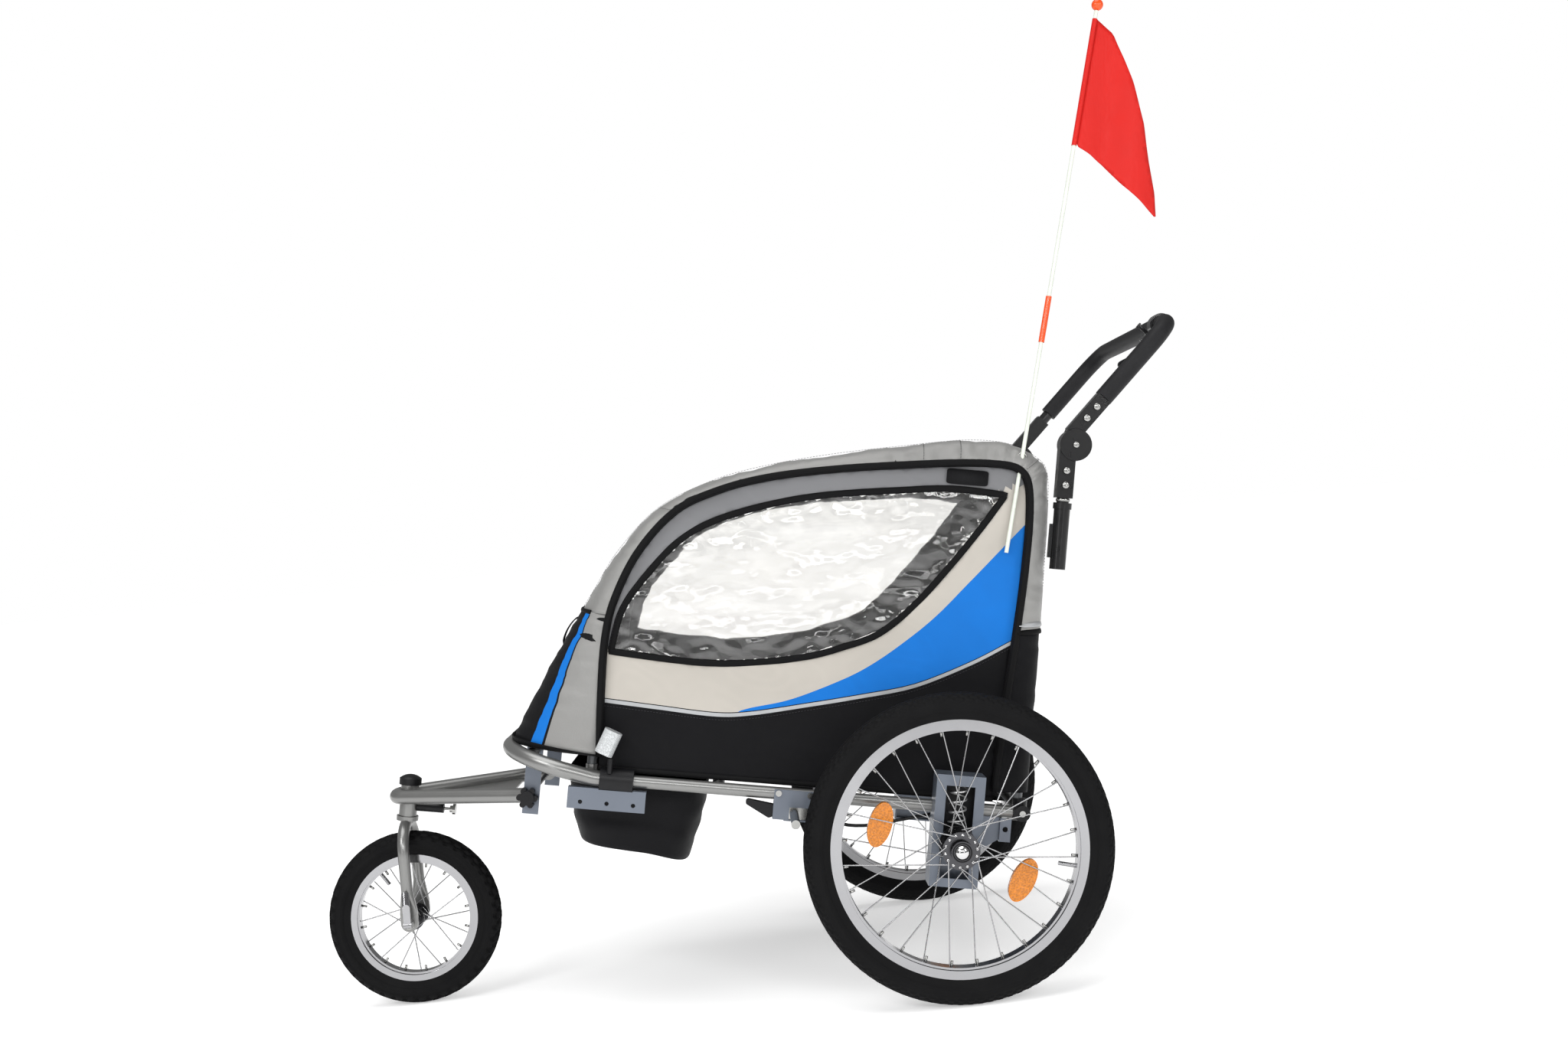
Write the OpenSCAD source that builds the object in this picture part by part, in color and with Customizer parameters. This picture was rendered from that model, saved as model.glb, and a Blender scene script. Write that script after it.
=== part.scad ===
// Two-in-one child bicycle trailer, set up as a stroller with its jogger wheel.
// Row frame: +X to the rear, -Y the left side, +Z up, origin under the middle of the whole trailer.
// Every part is drawn in the chassis frame (origin at the rear axle line, rails level) and
// on_chassis() then stands it on the ground with its nose up.

/* [Wheels] */
// Distance between the centre planes of the two rear wheels
track = 710; // [660:5:860]
// Outer radius of the rear tyres
rear_r = 245; // [240:1:252]
// Outer radius of the front tyre
front_r = 152; // [148:1:156]
// Width of the rear tyres
rear_tyre_w = 49; // [42:1:52]
// Width of the front tyre
front_tyre_w = 45; // [36:1:52]
// Diameter of the rear spokes
spoke_d = 2; // [1.6:0.1:2.4]
// Spokes on each rear hub flange
rear_spokes = 14; // [10:2:18]
// Spokes on the front hub flange
front_spokes_n = 8; // [6:2:10]

/* [Chassis] */
// Nose-up angle of the chassis when the jogger wheel is on the ground
nose_up = 10.6; // [8:0.1:12]
// Diameter of the side rails and cross tubes
rail_d = 20; // [16:0.5:22]
// Diameter of the front bumper tube
bumper_d = 26; // [22:0.5:28]
// Height of the rails above the rear axle
rail_z = 50; // [46:1:56]
// Distance of the bumper's front bar ahead of the rear axle
nose_x = 736; // [720:2:760]
// Plan radius of the bumper's corners
bumper_bend = 110; // [90:2:130]
// Angle at which the bumper rises in front of its sleeves
bumper_rise = 10.5; // [6:0.5:12]

/* [Suspension] */
// Outer diameter of the coil springs
spring_od = 30; // [24:0.5:32]
// Wire diameter of the coil springs
spring_wire = 3; // [2:0.2:3.6]
// Turns in each spring
spring_turns = 6.5; // [5:0.5:8]
// Width of each suspension channel
channel_w = 78; // [70:1:84]
// Plate thickness of the brackets
plate_t = 3; // [2:0.2:3.6]

/* [Jogger arm] */
// Diameter of the jogger arm's tube
arm_d = 25.4; // [22:0.2:27]
// Distance of the steering axis ahead of the rear axle
head_x = 931; // [915:1:960]
// Half the distance between the arm's two rear ends
arm_half_w = 135; // [120:1:150]
// Rearward offset of the front axle from the steering axis at the axle
fork_offset = 29.6; // [20:0.5:40]
// Diameter of the fork's steerer
steerer_d = 22; // [20:0.5:24]
// Diameter of the through bolt that carries the star knobs
knob_bolt_d = 8; // [6:0.5:9]

/* [Cabin] */
// Height of the cabin roof above the rails
cabin_h = 595; // [500:5:720]
// Thickness of the cover fabric solids
cover_t = 1.6; // [1.2:0.1:2]
// Diameter of the roof bars inside the cabin
roof_bar_d = 16; // [12:0.5:18]
// Diameter of the rear uprights
upright_d = 19; // [16:0.5:20]
// Depth of the footwell bag below the rear axle height
bag_depth = 75; // [50:1:90]

/* [Push bar] */
// Height of the push bar's pivots above the rear axle
pivot_z = 650; // [600:1:700]
// Angle of the push bar from the chassis vertical
bar_angle = 36.4; // [20:0.2:50]
// Length from the pivot to the cross bar
bar_len = 260; // [220:1:320]
// Outer diameter of the foam grip
grip_d = 30; // [26:0.5:34]
// Diameter of the push bar's tubes
bar_d = 20; // [18:0.5:22]
// Bend radius of the push bar's corners
bar_bend = 55; // [45:1:70]

/* [Flag] */
// Length of the flag pole
pole_len = 900; // [600:5:1100]
// Diameter of the flag pole
pole_d = 6.5; // [5:0.1:7]

/* [Hidden] */
$fn = 48;

gap = 0.3;                       // clearance between separate pieces
run = 0.05;                      // radial clearance of a running fit

// rear wheel and hub
hub_half = 32.5;
hub_flange_y = 25;
hub_flange_r = 29.5;
hub_flange_t = 3;
hub_r = 14;
rear_axle_d = 12;
rim_depth = 15;
rim_w = 27;
bead_r = rear_r - rear_tyre_w + 4.2;      // inner radius of the rear tyre
front_bead_r = front_r - front_tyre_w + 2;

// suspension channel, between the rail and the wheel
channel_top = 108;
channel_bottom = -70;
slot_w = channel_w - 32;
slot_top = 91;
slot_bottom = -56;
block_h = 28;
block_top = 10;
wheel_y = track / 2;
channel_y = wheel_y - hub_half - 2;       // outer face of the channel plate
channel_in = channel_y - plate_t;         // inner face of the channel plate
rail_y = channel_in - spring_od - 2.5 - rail_d / 2;

// chassis
sleeve_x = -548;                          // where bumper and rail meet in the sleeve
kink_x = -585;                            // where the bumper starts to rise
kink_r = 80;                              // bend radius of that rise
kink_t = kink_r * tan(bumper_rise / 2);
hoop_x = -592;                            // front feet of the cabin hoops
seam = 0.05;                              // weld gap between a tube and its bend
tail_x = 107;                             // rear cross tube
mid_x = -385;                             // cross tube behind the footwell
bumper_run = (nose_x + kink_x) / cos(bumper_rise);
cross_x = -697;                           // cross tube that carries the arm brackets
cross_z = rail_z + (-cross_x + kink_x) * tan(bumper_rise);
inner_y = rail_y - 23;                    // plane of the cabin frame's tubes
corner_r = 13;

// jogger arm
arm_z = -49;                              // arm height at the steering axis
bolt_x = -703;                            // star knob bolt
bolt_z = -10;
arm_slope = atan2(bolt_z - arm_z, bolt_x + head_x);
arm_run = (bolt_x + head_x) / cos(arm_slope);
nose_r = 30;                              // bend radius of the arm's nose
nose_c = 9;                               // bend centre behind the steering axis
arm_reach = norm([arm_run - nose_c, arm_half_w]);
arm_plan = atan2(arm_half_w, arm_run - nose_c) - asin(nose_r / arm_reach);
arm_leg = sqrt(arm_reach * arm_reach - nose_r * nose_r);
bracket_y = arm_half_w + 13.4;            // inner face of each arm bracket
head_r = steerer_d / 2 + 4.5;
head_top = -31;
head_bottom = -86;
pin_z = -69;
pin_d = 5;
pin_travel = 6;

// fork
crown_z = -99;
crown_bend = 50;
leg_d = 20;
axle_front_x = -head_x + fork_offset;
axle_front_z = (front_r - rear_r + axle_front_x * sin(nose_up)) / cos(nose_up);
rake = atan2(fork_offset, crown_z - axle_front_z);
fork_len = norm([fork_offset, crown_z - axle_front_z]);
drop_t = 7;
skewer_d = 9;
front_hub_half = 44;

// push bar
leg_x = 133.5;
leg_y = rail_y - 5;
pivot_x = leg_x + 11.5;
bar_off = -15;
disc_r = 26;
half_t = 12;
pivot_d = 8;
sleeve_top = 545;
sleeve_bottom = 447;

// flag
pole_lean = atan2(13, 500);
pole_tilt = 4.95;
pole_x = 48;
pole_y = rail_y + 0.5;

// cabin sheets
panel_y = rail_y - 8;                     // outer face of the side panels
cover_y = rail_y + 4;                     // outer face of the cover at its edges
zs = cabin_h / 595;                       // stretch of every height above the rails
pole_z = lifted(467);
// side edge of the cover, as [x, z], from the nose's foot over the roof to the rear foot
side_pts = [[-580, 86], [-586, 190], [-587, 275], [-577, 340], [-545, 420], [-491, 490],
    [-425, 529], [-345, 557], [-240, 579], [-130, 595], [-30, 607], [35, 609], [62, 601],
    [76, 578], [82, 521], [81, 430], [76, 339], [68, 224], [60, 80]];
// middle line of the cover, as [x, z], beside the same points
crown_pts = [[-733, 92], [-694, 187], [-655, 272], [-618, 345], [-580, 418], [-520, 493],
    [-435, 545], [-348, 577], [-240, 605], [-130, 627], [-30, 645], [42, 645], [90, 626],
    [110, 600], [116, 524], [118, 420], [119, 345], [120, 210], [120, 80]];
// how far the cover's rounded shoulder reaches in from its side edge at the same points
shoulder = [105, 95, 80, 62, 46, 40, 36, 34, 34, 34, 34, 34, 34, 36, 38, 38, 38, 38, 38];
front_end = 2.6;                          // where the nose panel ends along those points
rear_start = 16;                          // where the rear panel starts
window_top = [[-576, 255], [-565, 317], [-540, 366], [-486, 437], [-429, 478], [-343, 512],
    [-254, 535], [-135, 553], [-45, 563], [40, 560]];
window_low = [[40, 560], [8, 508], [-35, 445], [-90, 373], [-145, 320], [-204, 292],
    [-262, 272], [-351, 255], [-440, 249], [-576, 255]];

// brake
peg_x = -260;
peg_z = 22;
peg_d = 14;
pedal_x = -288;
pedal_z = 24;

// Half-way points of the brake cable from the left bracket to the trailer's middle
cable_pts = [[-221.5, -277, 22], [-200, -275, 14], [-170, -266, 6], [-130, -258, 8],
    [-90, -254, 18], [-50, -250, 28], [-20, -236, 33], [5, -205, 34], [15, -150, 34],
    [18, -75, 34], [18, 0, 34]];

axle_x = (-(bar_reach() + grip_d / 2 + 4) + (-front_axle_world() + front_r)) / 2;

// horizontal reach of the cross bar and distance to the front axle, on the ground's level
function bar_reach() = cos(nose_up) * bar_cx() + sin(nose_up) * bar_cz();
function bar_cx() = pivot_x + bar_off * cos(bar_angle) + bar_len * sin(bar_angle);
function bar_cz() = pivot_z - bar_off * sin(bar_angle) + bar_len * cos(bar_angle);
function front_axle_world() = cos(nose_up) * axle_front_x + sin(nose_up) * axle_front_z;

// point i + f of a smooth curve through a list of points
function hermite(a, b, c, d, f) =
    0.5 * ((2 * b) + (c - a) * f + (2 * a - 5 * b + 4 * c - d) * f * f
    + (3 * b - a - 3 * c + d) * f * f * f);
function at(p, t) =
    let (n = len(p) - 1, i = min(floor(t), n - 1), f = t - i)
    hermite(p[max(i - 1, 0)], p[i], p[i + 1], p[min(i + 2, n)], f);
function lifted(z) = rail_z + (z - 50) * zs;
function scaled(q) = [q[0], lifted(q[1])];
function curve(p, t0, t1, n) = [for (k = [0:n]) scaled(at(p, t0 + (t1 - t0) * k / n))];

// ---- helpers ----
module on_chassis() {
    translate([axle_x, 0, rear_r]) rotate([0, nose_up, 0]) children();
}
module both() {
    children();
    mirror([0, 1, 0]) children();
}
module along_x(x0, x1, y, z, d) {
    translate([x0, y, z]) rotate([0, 90, 0]) cylinder(h = x1 - x0, d = d);
}
module along_y(x, y0, y1, z, d) {
    translate([x, y0, z]) rotate([-90, 0, 0]) cylinder(h = y1 - y0, d = d);
}
module rod(a, b, d) {
    v = b - a;
    translate(a) rotate([0, acos(v[2] / norm(v)), atan2(v[1], v[0])])
        cylinder(h = norm(v), d = d);
}
module box(x0, x1, y0, y1, z0, z1) {
    translate([x0, y0, z0]) cube([x1 - x0, y1 - y0, z1 - z0]);
}
// a plate in the XZ plane from y0 to y1
module plate(pts, y0, y1) {
    translate([0, y1, 0]) rotate([90, 0, 0]) linear_extrude(y1 - y0) polygon(pts);
}

// ---- chassis ----
module front_bumper() color("silver") on_chassis() {
    both() {
        along_x(kink_x + kink_t + seam, sleeve_x - gap, -rail_y, rail_z, bumper_d);
        translate([kink_x + kink_t, -rail_y, rail_z + kink_r]) rotate([90, 0, 0])
            rotate([0, 0, -90 - bumper_rise]) rotate_extrude(angle = bumper_rise)
            translate([kink_r, 0]) circle(d = bumper_d);
        translate([kink_x, 0, rail_z]) rotate([0, bumper_rise, 0]) {
            along_x(-bumper_run + bumper_bend + seam, -kink_t - seam, -rail_y, 0, bumper_d);
            translate([-bumper_run + bumper_bend, -rail_y + bumper_bend, 0])
                rotate([0, 0, 180]) rotate_extrude(angle = 90)
                translate([bumper_bend, 0]) circle(d = bumper_d);
        }
        translate([hoop_x, -inner_y, rail_z - 8]) cylinder(h = 28, d = 19);
    }
    translate([kink_x, 0, rail_z]) rotate([0, bumper_rise, 0])
        along_y(-bumper_run, -rail_y + bumper_bend + seam, rail_y - bumper_bend - seam, 0, bumper_d);
    along_y(cross_x, -rail_y + 40, rail_y - 40, cross_z, 18);
}
module base_frame() color("silver") on_chassis() {
    both() difference() {
        along_x(sleeve_x + gap, tail_x - corner_r - 2, -rail_y, rail_z, rail_d);
        for (x = [-287, -236])
            along_y(x, -rail_y - 20, -rail_y + 20, rail_z + 2, 6.2);
    }
    along_y(mid_x, -rail_y + 3, rail_y - 3, rail_z, rail_d);
    along_y(tail_x, -inner_y + 13, inner_y - 13, rail_z, rail_d);
}
bar_foot = rail_z + 20 + gap;
bar_r = 250;
bar_turn = 75;
bar_z = lifted(270);
bar_end = [hoop_x + bar_r * (1 - cos(bar_turn)), bar_z + bar_r * sin(bar_turn)];
hoop_top = [92, lifted(600)];
module cabin_frame() color("darkgray") on_chassis() {
    both() {
        translate([hoop_x, -inner_y, bar_foot]) cylinder(h = bar_z - bar_foot, d = roof_bar_d);
        translate([hoop_x + bar_r, -inner_y, bar_z]) rotate([-90, 180, 0])
            rotate_extrude(angle = bar_turn) translate([bar_r, 0]) circle(d = roof_bar_d);
        translate([bar_end[0], -inner_y, bar_end[1]]) sphere(d = roof_bar_d + 1);
        rod([bar_end[0], -inner_y, bar_end[1]], [hoop_top[0], -inner_y, hoop_top[1]], roof_bar_d);
        rod([tail_x - 6, -inner_y, rail_z + 20 + 2 * gap], [hoop_top[0], -inner_y, hoop_top[1]],
            upright_d);
        translate([hoop_top[0], -inner_y, hoop_top[1]]) sphere(d = upright_d + 1);
    }
    along_y(hoop_top[0], -inner_y, inner_y, hoop_top[1], upright_d);
}
module corner_joints() color("dimgray") on_chassis() both() difference() {
    union() {
        along_y(tail_x, -rail_y - corner_r, -inner_y + 13 - gap, rail_z, 2 * corner_r);
        along_x(tail_x - corner_r - 2 + gap, tail_x, -rail_y, rail_z, 2 * corner_r);
        translate([tail_x, -inner_y, rail_z]) cylinder(h = 20, d = 24);
    }
    along_y(tail_x, -rail_y - corner_r - 1, -rail_y - corner_r + 3, rail_z, 10.4);
}
module suspension_bracket() color("slategray") {
    difference() {
        union() {
            difference() {
                box(-channel_w / 2, channel_w / 2, -channel_y, -channel_in,
                    channel_bottom, channel_top);
                box(-slot_w / 2, slot_w / 2, -channel_y - 1, -channel_in + 1,
                    slot_bottom, slot_top);
            }
            for (x = [-channel_w / 2, channel_w / 2 - plate_t])
                box(x, x + plate_t, -channel_in, -rail_y + 4, channel_bottom, channel_top);
            for (z = [channel_bottom, channel_top - plate_t])
                box(-channel_w / 2, channel_w / 2, -channel_in, -rail_y + 4, z, z + plate_t);
            box(-channel_w / 2, channel_w / 2, -rail_y - rail_d / 2 - plate_t - 0.4,
                -rail_y - rail_d / 2 - 0.4, channel_bottom, -20);
            box(-channel_w / 2, channel_w / 2, -rail_y - rail_d / 2 - 0.9,
                -rail_y - rail_d / 2 - 0.1, -20, channel_top);
            plate([[channel_w / 2 - 1, rail_z - rail_d / 2 - 0.2],
                [76, rail_z - rail_d / 2 - 0.2], [76, 6], [52, -10], [channel_w / 2 - 1, -10]],
                -rail_y - 1.5, -rail_y + 1.5);
            box(73, 76, -rail_y - 9, -rail_y + 1.5, 2, rail_z - rail_d / 2 - 0.2);
            box(73, 91, -rail_y - 9, -rail_y - 6, 2, rail_z - rail_d / 2 - 0.2);
        }
        along_x(-channel_w, channel_w, -rail_y, rail_z, rail_d + 0.2);
        along_y(82, -rail_y - 12, -rail_y - 3, 22, 9);
    }
}
module left_suspension_bracket() on_chassis() suspension_bracket();
module right_suspension_bracket() on_chassis() mirror([0, 1, 0]) suspension_bracket();

hitch_x = [-603, -560.5, -518];
hitch_z = 13;
module drawbar_bracket() color("slategray") on_chassis() difference() {
    union() {
        box(-624, -499, -rail_y - bumper_d / 2, -rail_y - bumper_d / 2 + plate_t, 2, 36);
        box(-624, -499, -rail_y - bumper_d / 2, -rail_y + 2, 33, 36);
    }
    for (x = hitch_x) along_y(x, -rail_y - 20, -rail_y, hitch_z, 7);
    along_x(sleeve_x - 27.3, sleeve_x + 27.3, -rail_y, rail_z, 40.6);
    along_x(kink_x - 60, sleeve_x, -rail_y, rail_z, bumper_d + 0.4);
}
module bumper_sleeves() color("dimgray") on_chassis() both() difference() {
    union() {
        along_x(sleeve_x - 27, sleeve_x + 27, -rail_y, rail_z, 40);
        translate([-560, -rail_y - 14, rail_z + 12]) cylinder(h = 24, d = 9);
    }
    along_x(sleeve_x - 28, sleeve_x, -rail_y, rail_z, bumper_d + 0.2);
    along_x(sleeve_x - 1, sleeve_x + 28, -rail_y, rail_z, rail_d + 0.2);
}
module front_reflectors() color("white") on_chassis() both()
    translate([-565, -rail_y - 18, rail_z + 62]) rotate([0, 20, 0]) difference() {
        cylinder(h = 40, d = 30, center = true);
        box(-20, 20, -20, -12, -25, 25);
        box(-20, 20, 12, 20, -25, 25);
    }
module arm_brackets() color("slategray") on_chassis() both() difference() {
    box(cross_x - 14, cross_x + 13, -bracket_y - 4, -bracket_y, -38, cross_z + 13);
    along_y(cross_x, -bracket_y - 5, -bracket_y + 1, cross_z, 18.2);
    along_y(bolt_x, -bracket_y - 5, -bracket_y + 1, bolt_z, knob_bolt_d + 2 * run);
}

// ---- jogger arm ----
module jogger_arm() color("silver") on_chassis() difference() {
    union() {
        translate([-head_x, 0, arm_z]) rotate([0, -arm_slope, 0]) {
            translate([nose_c, 0, 0]) rotate([0, 0, 90 + arm_plan])
                rotate_extrude(angle = 180 - 2 * arm_plan)
                translate([nose_r, 0]) circle(d = arm_d);
            both() translate([nose_c, 0, 0]) rotate([0, 0, -arm_plan])
                translate([0, -nose_r, 0]) rotate([0, 90, 0]) cylinder(h = arm_leg, d = arm_d);
            translate([0, 0, -7]) linear_extrude(3)
                polygon([[50, -40], [190, -105], [190, 105], [50, 40]]);
        }
        translate([-head_x, 0, head_bottom]) cylinder(h = head_top - head_bottom, r = head_r);
        both() along_y(bolt_x, -bracket_y + 0.4, -arm_half_w + 14, bolt_z, 28);
    }
    translate([-head_x, 0, head_bottom - 1])
        cylinder(h = head_top - head_bottom + 2, d = steerer_d + 2 * run);
    along_x(-head_x, -head_x + 20, 0, pin_z, pin_d + 2 * run);
    along_y(bolt_x, -bracket_y - 1, bracket_y + 1, bolt_z, knob_bolt_d + 2 * run);
}
module head_cap() color("dimgray") on_chassis() translate([-head_x, 0, head_top + gap])
    difference() {
        union() {
            cylinder(h = 11, d = 38.5);
            translate([0, 0, 11]) intersection() {
                scale(1) translate([0, 0, -22]) sphere(r = 29);
                cylinder(h = 20, d = 38.5);
            }
        }
        translate([0, 0, -1]) cylinder(h = 6, d = steerer_d + 2);
    }
module lock_pin_housing() color("dimgray") on_chassis() difference() {
    along_x(-head_x + head_r + gap, -868, 0, pin_z, 16);
    along_x(-head_x, -850, 0, pin_z, pin_d + 2 * run);
}
module lock_pin() color("silver") on_chassis() {
    along_x(-head_x + steerer_d / 2 + 0.5, -856, 0, pin_z, pin_d);
    along_x(-857, -852, 0, pin_z, 12);
    along_x(-852, -847, 0, pin_z, 19);
}
module star_knobs() color("dimgray") on_chassis() {
    along_y(bolt_x, -bracket_y - 16, bracket_y + 16, bolt_z, knob_bolt_d);
    both() {
        along_y(bolt_x, -bracket_y - 20, -bracket_y - 4 - gap, bolt_z, 24);
        for (a = [0:60:300])
            along_y(bolt_x + 13 * cos(a), -bracket_y - 18, -bracket_y - 6, bolt_z + 13 * sin(a), 10);
    }
}

// ---- fork and front wheel ----
module at_crown() {
    on_chassis() translate([-head_x, 0, crown_z]) rotate([0, -rake, 0]) children();
}
module fork() color("silver") difference() {
    union() {
        on_chassis() translate([-head_x, 0, 0]) {
            translate([0, 0, crown_z]) cylinder(h = head_top - 3 - crown_z, d = steerer_d);
            translate([0, 0, crown_z + 5]) cylinder(h = head_bottom - gap - crown_z - 5, d = 38);
        }
        at_crown() {
            translate([0, 0, -crown_bend]) rotate([90, 0, 90])
                rotate_extrude(angle = 180) translate([crown_bend, 0]) circle(d = leg_d);
            both() {
                translate([0, -crown_bend, -crown_bend - 62]) cylinder(h = 62, d = leg_d);
                hull() {
                    translate([0, -crown_bend, -crown_bend - 62.5]) cylinder(h = 1, d = leg_d);
                    box(-15, 15, -crown_bend - drop_t / 2, -crown_bend + drop_t / 2,
                        -fork_len + 14, -fork_len + 18);
                }
                box(-15, 15, -crown_bend - drop_t / 2, -crown_bend + drop_t / 2,
                    -fork_len, -fork_len + 16);
                along_y(0, -crown_bend - drop_t / 2, -crown_bend + drop_t / 2, -fork_len, 30);
            }
        }
    }
    at_crown() along_y(0, -crown_bend - 20, crown_bend + 20, -fork_len, 6.2);
    on_chassis() along_x(-head_x + steerer_d / 2 - pin_travel - 1.5, -head_x + steerer_d, 0, pin_z,
        pin_d + 1);
}
module at_front_axle() {
    at_crown() translate([0, 0, -fork_len]) children();
}
module front_skewer() color("silver") at_front_axle() {
    inner = crown_bend - drop_t / 2 - gap;
    along_y(0, -inner, inner, 0, skewer_d);
    along_y(0, -crown_bend - 8, crown_bend + 12, 0, 6);
    along_y(0, crown_bend + drop_t / 2 + gap, crown_bend + 15, 0, 18);
    along_y(0, -crown_bend - 11, -crown_bend - drop_t / 2 - gap, 0, 18);
}
lever_y = -crown_bend - 17;
module quick_release_lever() color("silver") at_front_axle() {
    along_x(-7, 7, lever_y, 0, 11);
    hull() {
        translate([0, lever_y, 0]) rotate([0, 90, 0]) cylinder(h = 12, d = 9, center = true);
        translate([0, lever_y - 1, 30]) rotate([90, 0, 0]) cylinder(h = 5, d = 13, center = true, $fn = 32);
    }
    hull() {
        translate([0, lever_y - 1, 30]) rotate([90, 0, 0]) cylinder(h = 5, d = 13, center = true, $fn = 32);
        translate([0, lever_y + 1.5, 52]) rotate([90, 0, 0]) cylinder(h = 4, d = 12, center = true, $fn = 32);
    }
}
// a tyre about the Z axis: outer radius, width, bead radius, rim width
module tyre_ring(r, w, bead, rw) {
    rotate_extrude() difference() {
        intersection() {
            translate([r - w / 2, 0]) circle(d = w);
            translate([bead, -w]) square([r, 2 * w]);
        }
        for (s = [-1, 1]) translate([bead - 1, s > 0 ? rw / 2 - 2 - gap : -rw / 2 - 4])
            square([4 + gap, 6 + gap]);
    }
}
module rim_ring(bead, depth, rw) {
    difference() {
        rotate_extrude() union() {
            translate([bead - depth, -rw / 2 + 3]) square([depth - gap, rw - 6]);
            translate([bead - depth + 4, -rw / 2]) square([depth - 4 - gap, rw]);
            for (s = [-1, 1]) translate([bead - 1, s > 0 ? rw / 2 - 2 : -rw / 2])
                square([3.6, 2]);
        }
        rotate_extrude() translate([bead - depth + 3, -rw / 2 + 5]) square([depth - 7, rw - 10]);
    }
}
// spokes about the Z axis: n on each flange, two-cross
module spoke_set(n, hole_r, flange_r, flange_y, rim_r, d, flange_t) {
    lift = 0.2 + 1.15 * flange_y * sqrt(flange_r * flange_r - hole_r * hole_r) / rim_r;
    for (side = [-1, 1], i = [0:n - 1]) {
        a = i * 360 / n + (side > 0 ? 180 / n : 0);
        turn = (i % 2 == 0 ? 2 : -2) * 360 / n;
        off = i % 2 == 0 ? flange_t / 2 + d / 2 + lift : -flange_t / 2 - d / 2 - 0.15;
        rod([hole_r * cos(a), hole_r * sin(a), side * (flange_y + off)],
            [rim_r * cos(a + turn), rim_r * sin(a + turn), side * 3], d);
    }
}
module at_rear_wheel() {
    translate([0, -wheel_y, 0]) rotate([90, 0, 0]) children();
}
module at_front_wheel() {
    at_front_axle() rotate([90, 0, 0]) children();
}
module rear_tyre() color("dimgray") at_rear_wheel()
    tyre_ring(rear_r, rear_tyre_w, bead_r, rim_w);
module rear_rim() color("silver") at_rear_wheel() {
    rim_ring(bead_r, rim_depth, rim_w);
    rotate([0, 0, 356]) translate([bead_r - rim_depth, 0, 0]) rotate([0, -90, 0])
        cylinder(h = 28, d = 6.5);
}
module rear_spoke_set() color("silver") at_rear_wheel()
    spoke_set(rear_spokes, 25, hub_flange_r, hub_flange_y, bead_r - rim_depth - 1, spoke_d, hub_flange_t);
module rear_hub() color("gray") at_rear_wheel() difference() {
    union() {
        translate([0, 0, -hub_half]) cylinder(h = 2 * hub_half, r = hub_r);
        for (s = [-1, 1]) translate([0, 0, s * hub_flange_y - hub_flange_t / 2])
            cylinder(h = hub_flange_t, r = hub_flange_r);
        translate([0, 0, hub_half]) cylinder(h = 6, d = 34);
        translate([0, 0, hub_half + 6]) intersection() {
            translate([0, 0, -6]) sphere(r = 13);
            cylinder(h = 10, d = 23);
        }
    }
    translate([0, 0, -hub_half - 1]) cylinder(h = 2 * hub_half + 4, d = rear_axle_d + 2 * run);
    for (s = [-1, 1], i = [0:rear_spokes - 1])
        rotate([0, 0, i * 360 / rear_spokes + (s > 0 ? 180 / rear_spokes : 0)])
            translate([hub_flange_r - 4.5, 0, s * hub_flange_y]) cylinder(h = 5, d = 1.6, center = true);
}
// lenses clipped to the spokes, each place as [angle, radius]
module spoke_reflectors(places) color("orange") at_rear_wheel()
    for (p = places) rotate([0, 0, p[0]])
        translate([p[1], 0, -5]) linear_extrude(10) scale([37, 72]) circle(d = 1);
module axle_slider() color("slategray") {
    box(-channel_w / 2 + plate_t + 0.4, channel_w / 2 - plate_t - 0.4,
        -channel_in + 0.4, -rail_y - rail_d / 2 - plate_t - 0.8, block_top - block_h, block_top);
    along_y(0, -wheel_y - hub_half - 1, -channel_in + 0.4, 0, rear_axle_d);
    along_y(0, -wheel_y + hub_half + gap, -channel_in + 0.4, 0, 20);
}
// helical wire about the Z axis from z0 to z1
module coil(r, wire, turns, z0, z1) {
    n = 20;
    m = round(turns * n);
    k = 8;
    pts = [for (i = [0:m]) let (a = i * 360 / n, z = z0 + wire / 2 + (z1 - z0 - wire) * i / m)
        for (j = [0:k - 1]) let (b = j * 360 / k)
            [(r + wire / 2 * cos(b)) * cos(a), (r + wire / 2 * cos(b)) * sin(a),
                z + wire / 2 * sin(b)]];
    polyhedron(pts, concat([[for (j = [0:k - 1]) j]],
        [for (i = [0:m - 1], j = [0:k - 1]) let (q = (j + 1) % k)
            [i * k + j, (i + 1) * k + j, (i + 1) * k + q, i * k + q]],
        [[for (j = [k - 1:-1:0]) m * k + j]]), convexity = 6);
}
module spring() color("silver")
    translate([0, -channel_in + 1.2 + spring_od / 2, 0])
    coil((spring_od - spring_wire) / 2, spring_wire, spring_turns,
        block_top + gap, channel_top - plate_t - gap);

module left_axle_slider() on_chassis() axle_slider();
module right_axle_slider() on_chassis() mirror([0, 1, 0]) axle_slider();
module left_spring() on_chassis() spring();
module right_spring() on_chassis() mirror([0, 1, 0]) spring();
module left_tyre() on_chassis() rear_tyre();
module right_tyre() on_chassis() mirror([0, 1, 0]) rear_tyre();
module left_rim() on_chassis() rear_rim();
module right_rim() on_chassis() mirror([0, 1, 0]) rear_rim();
module left_spokes() on_chassis() rear_spoke_set();
module right_spokes() on_chassis() mirror([0, 1, 0]) rear_spoke_set();
module left_hub() on_chassis() rear_hub();
module right_hub() on_chassis() mirror([0, 1, 0]) rear_hub();
module left_spoke_reflectors() on_chassis() spoke_reflectors([[168, 130], [338, 112]]);
module right_spoke_reflectors() on_chassis() mirror([0, 1, 0])
    spoke_reflectors([[8, 118], [176, 118]]);

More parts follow.
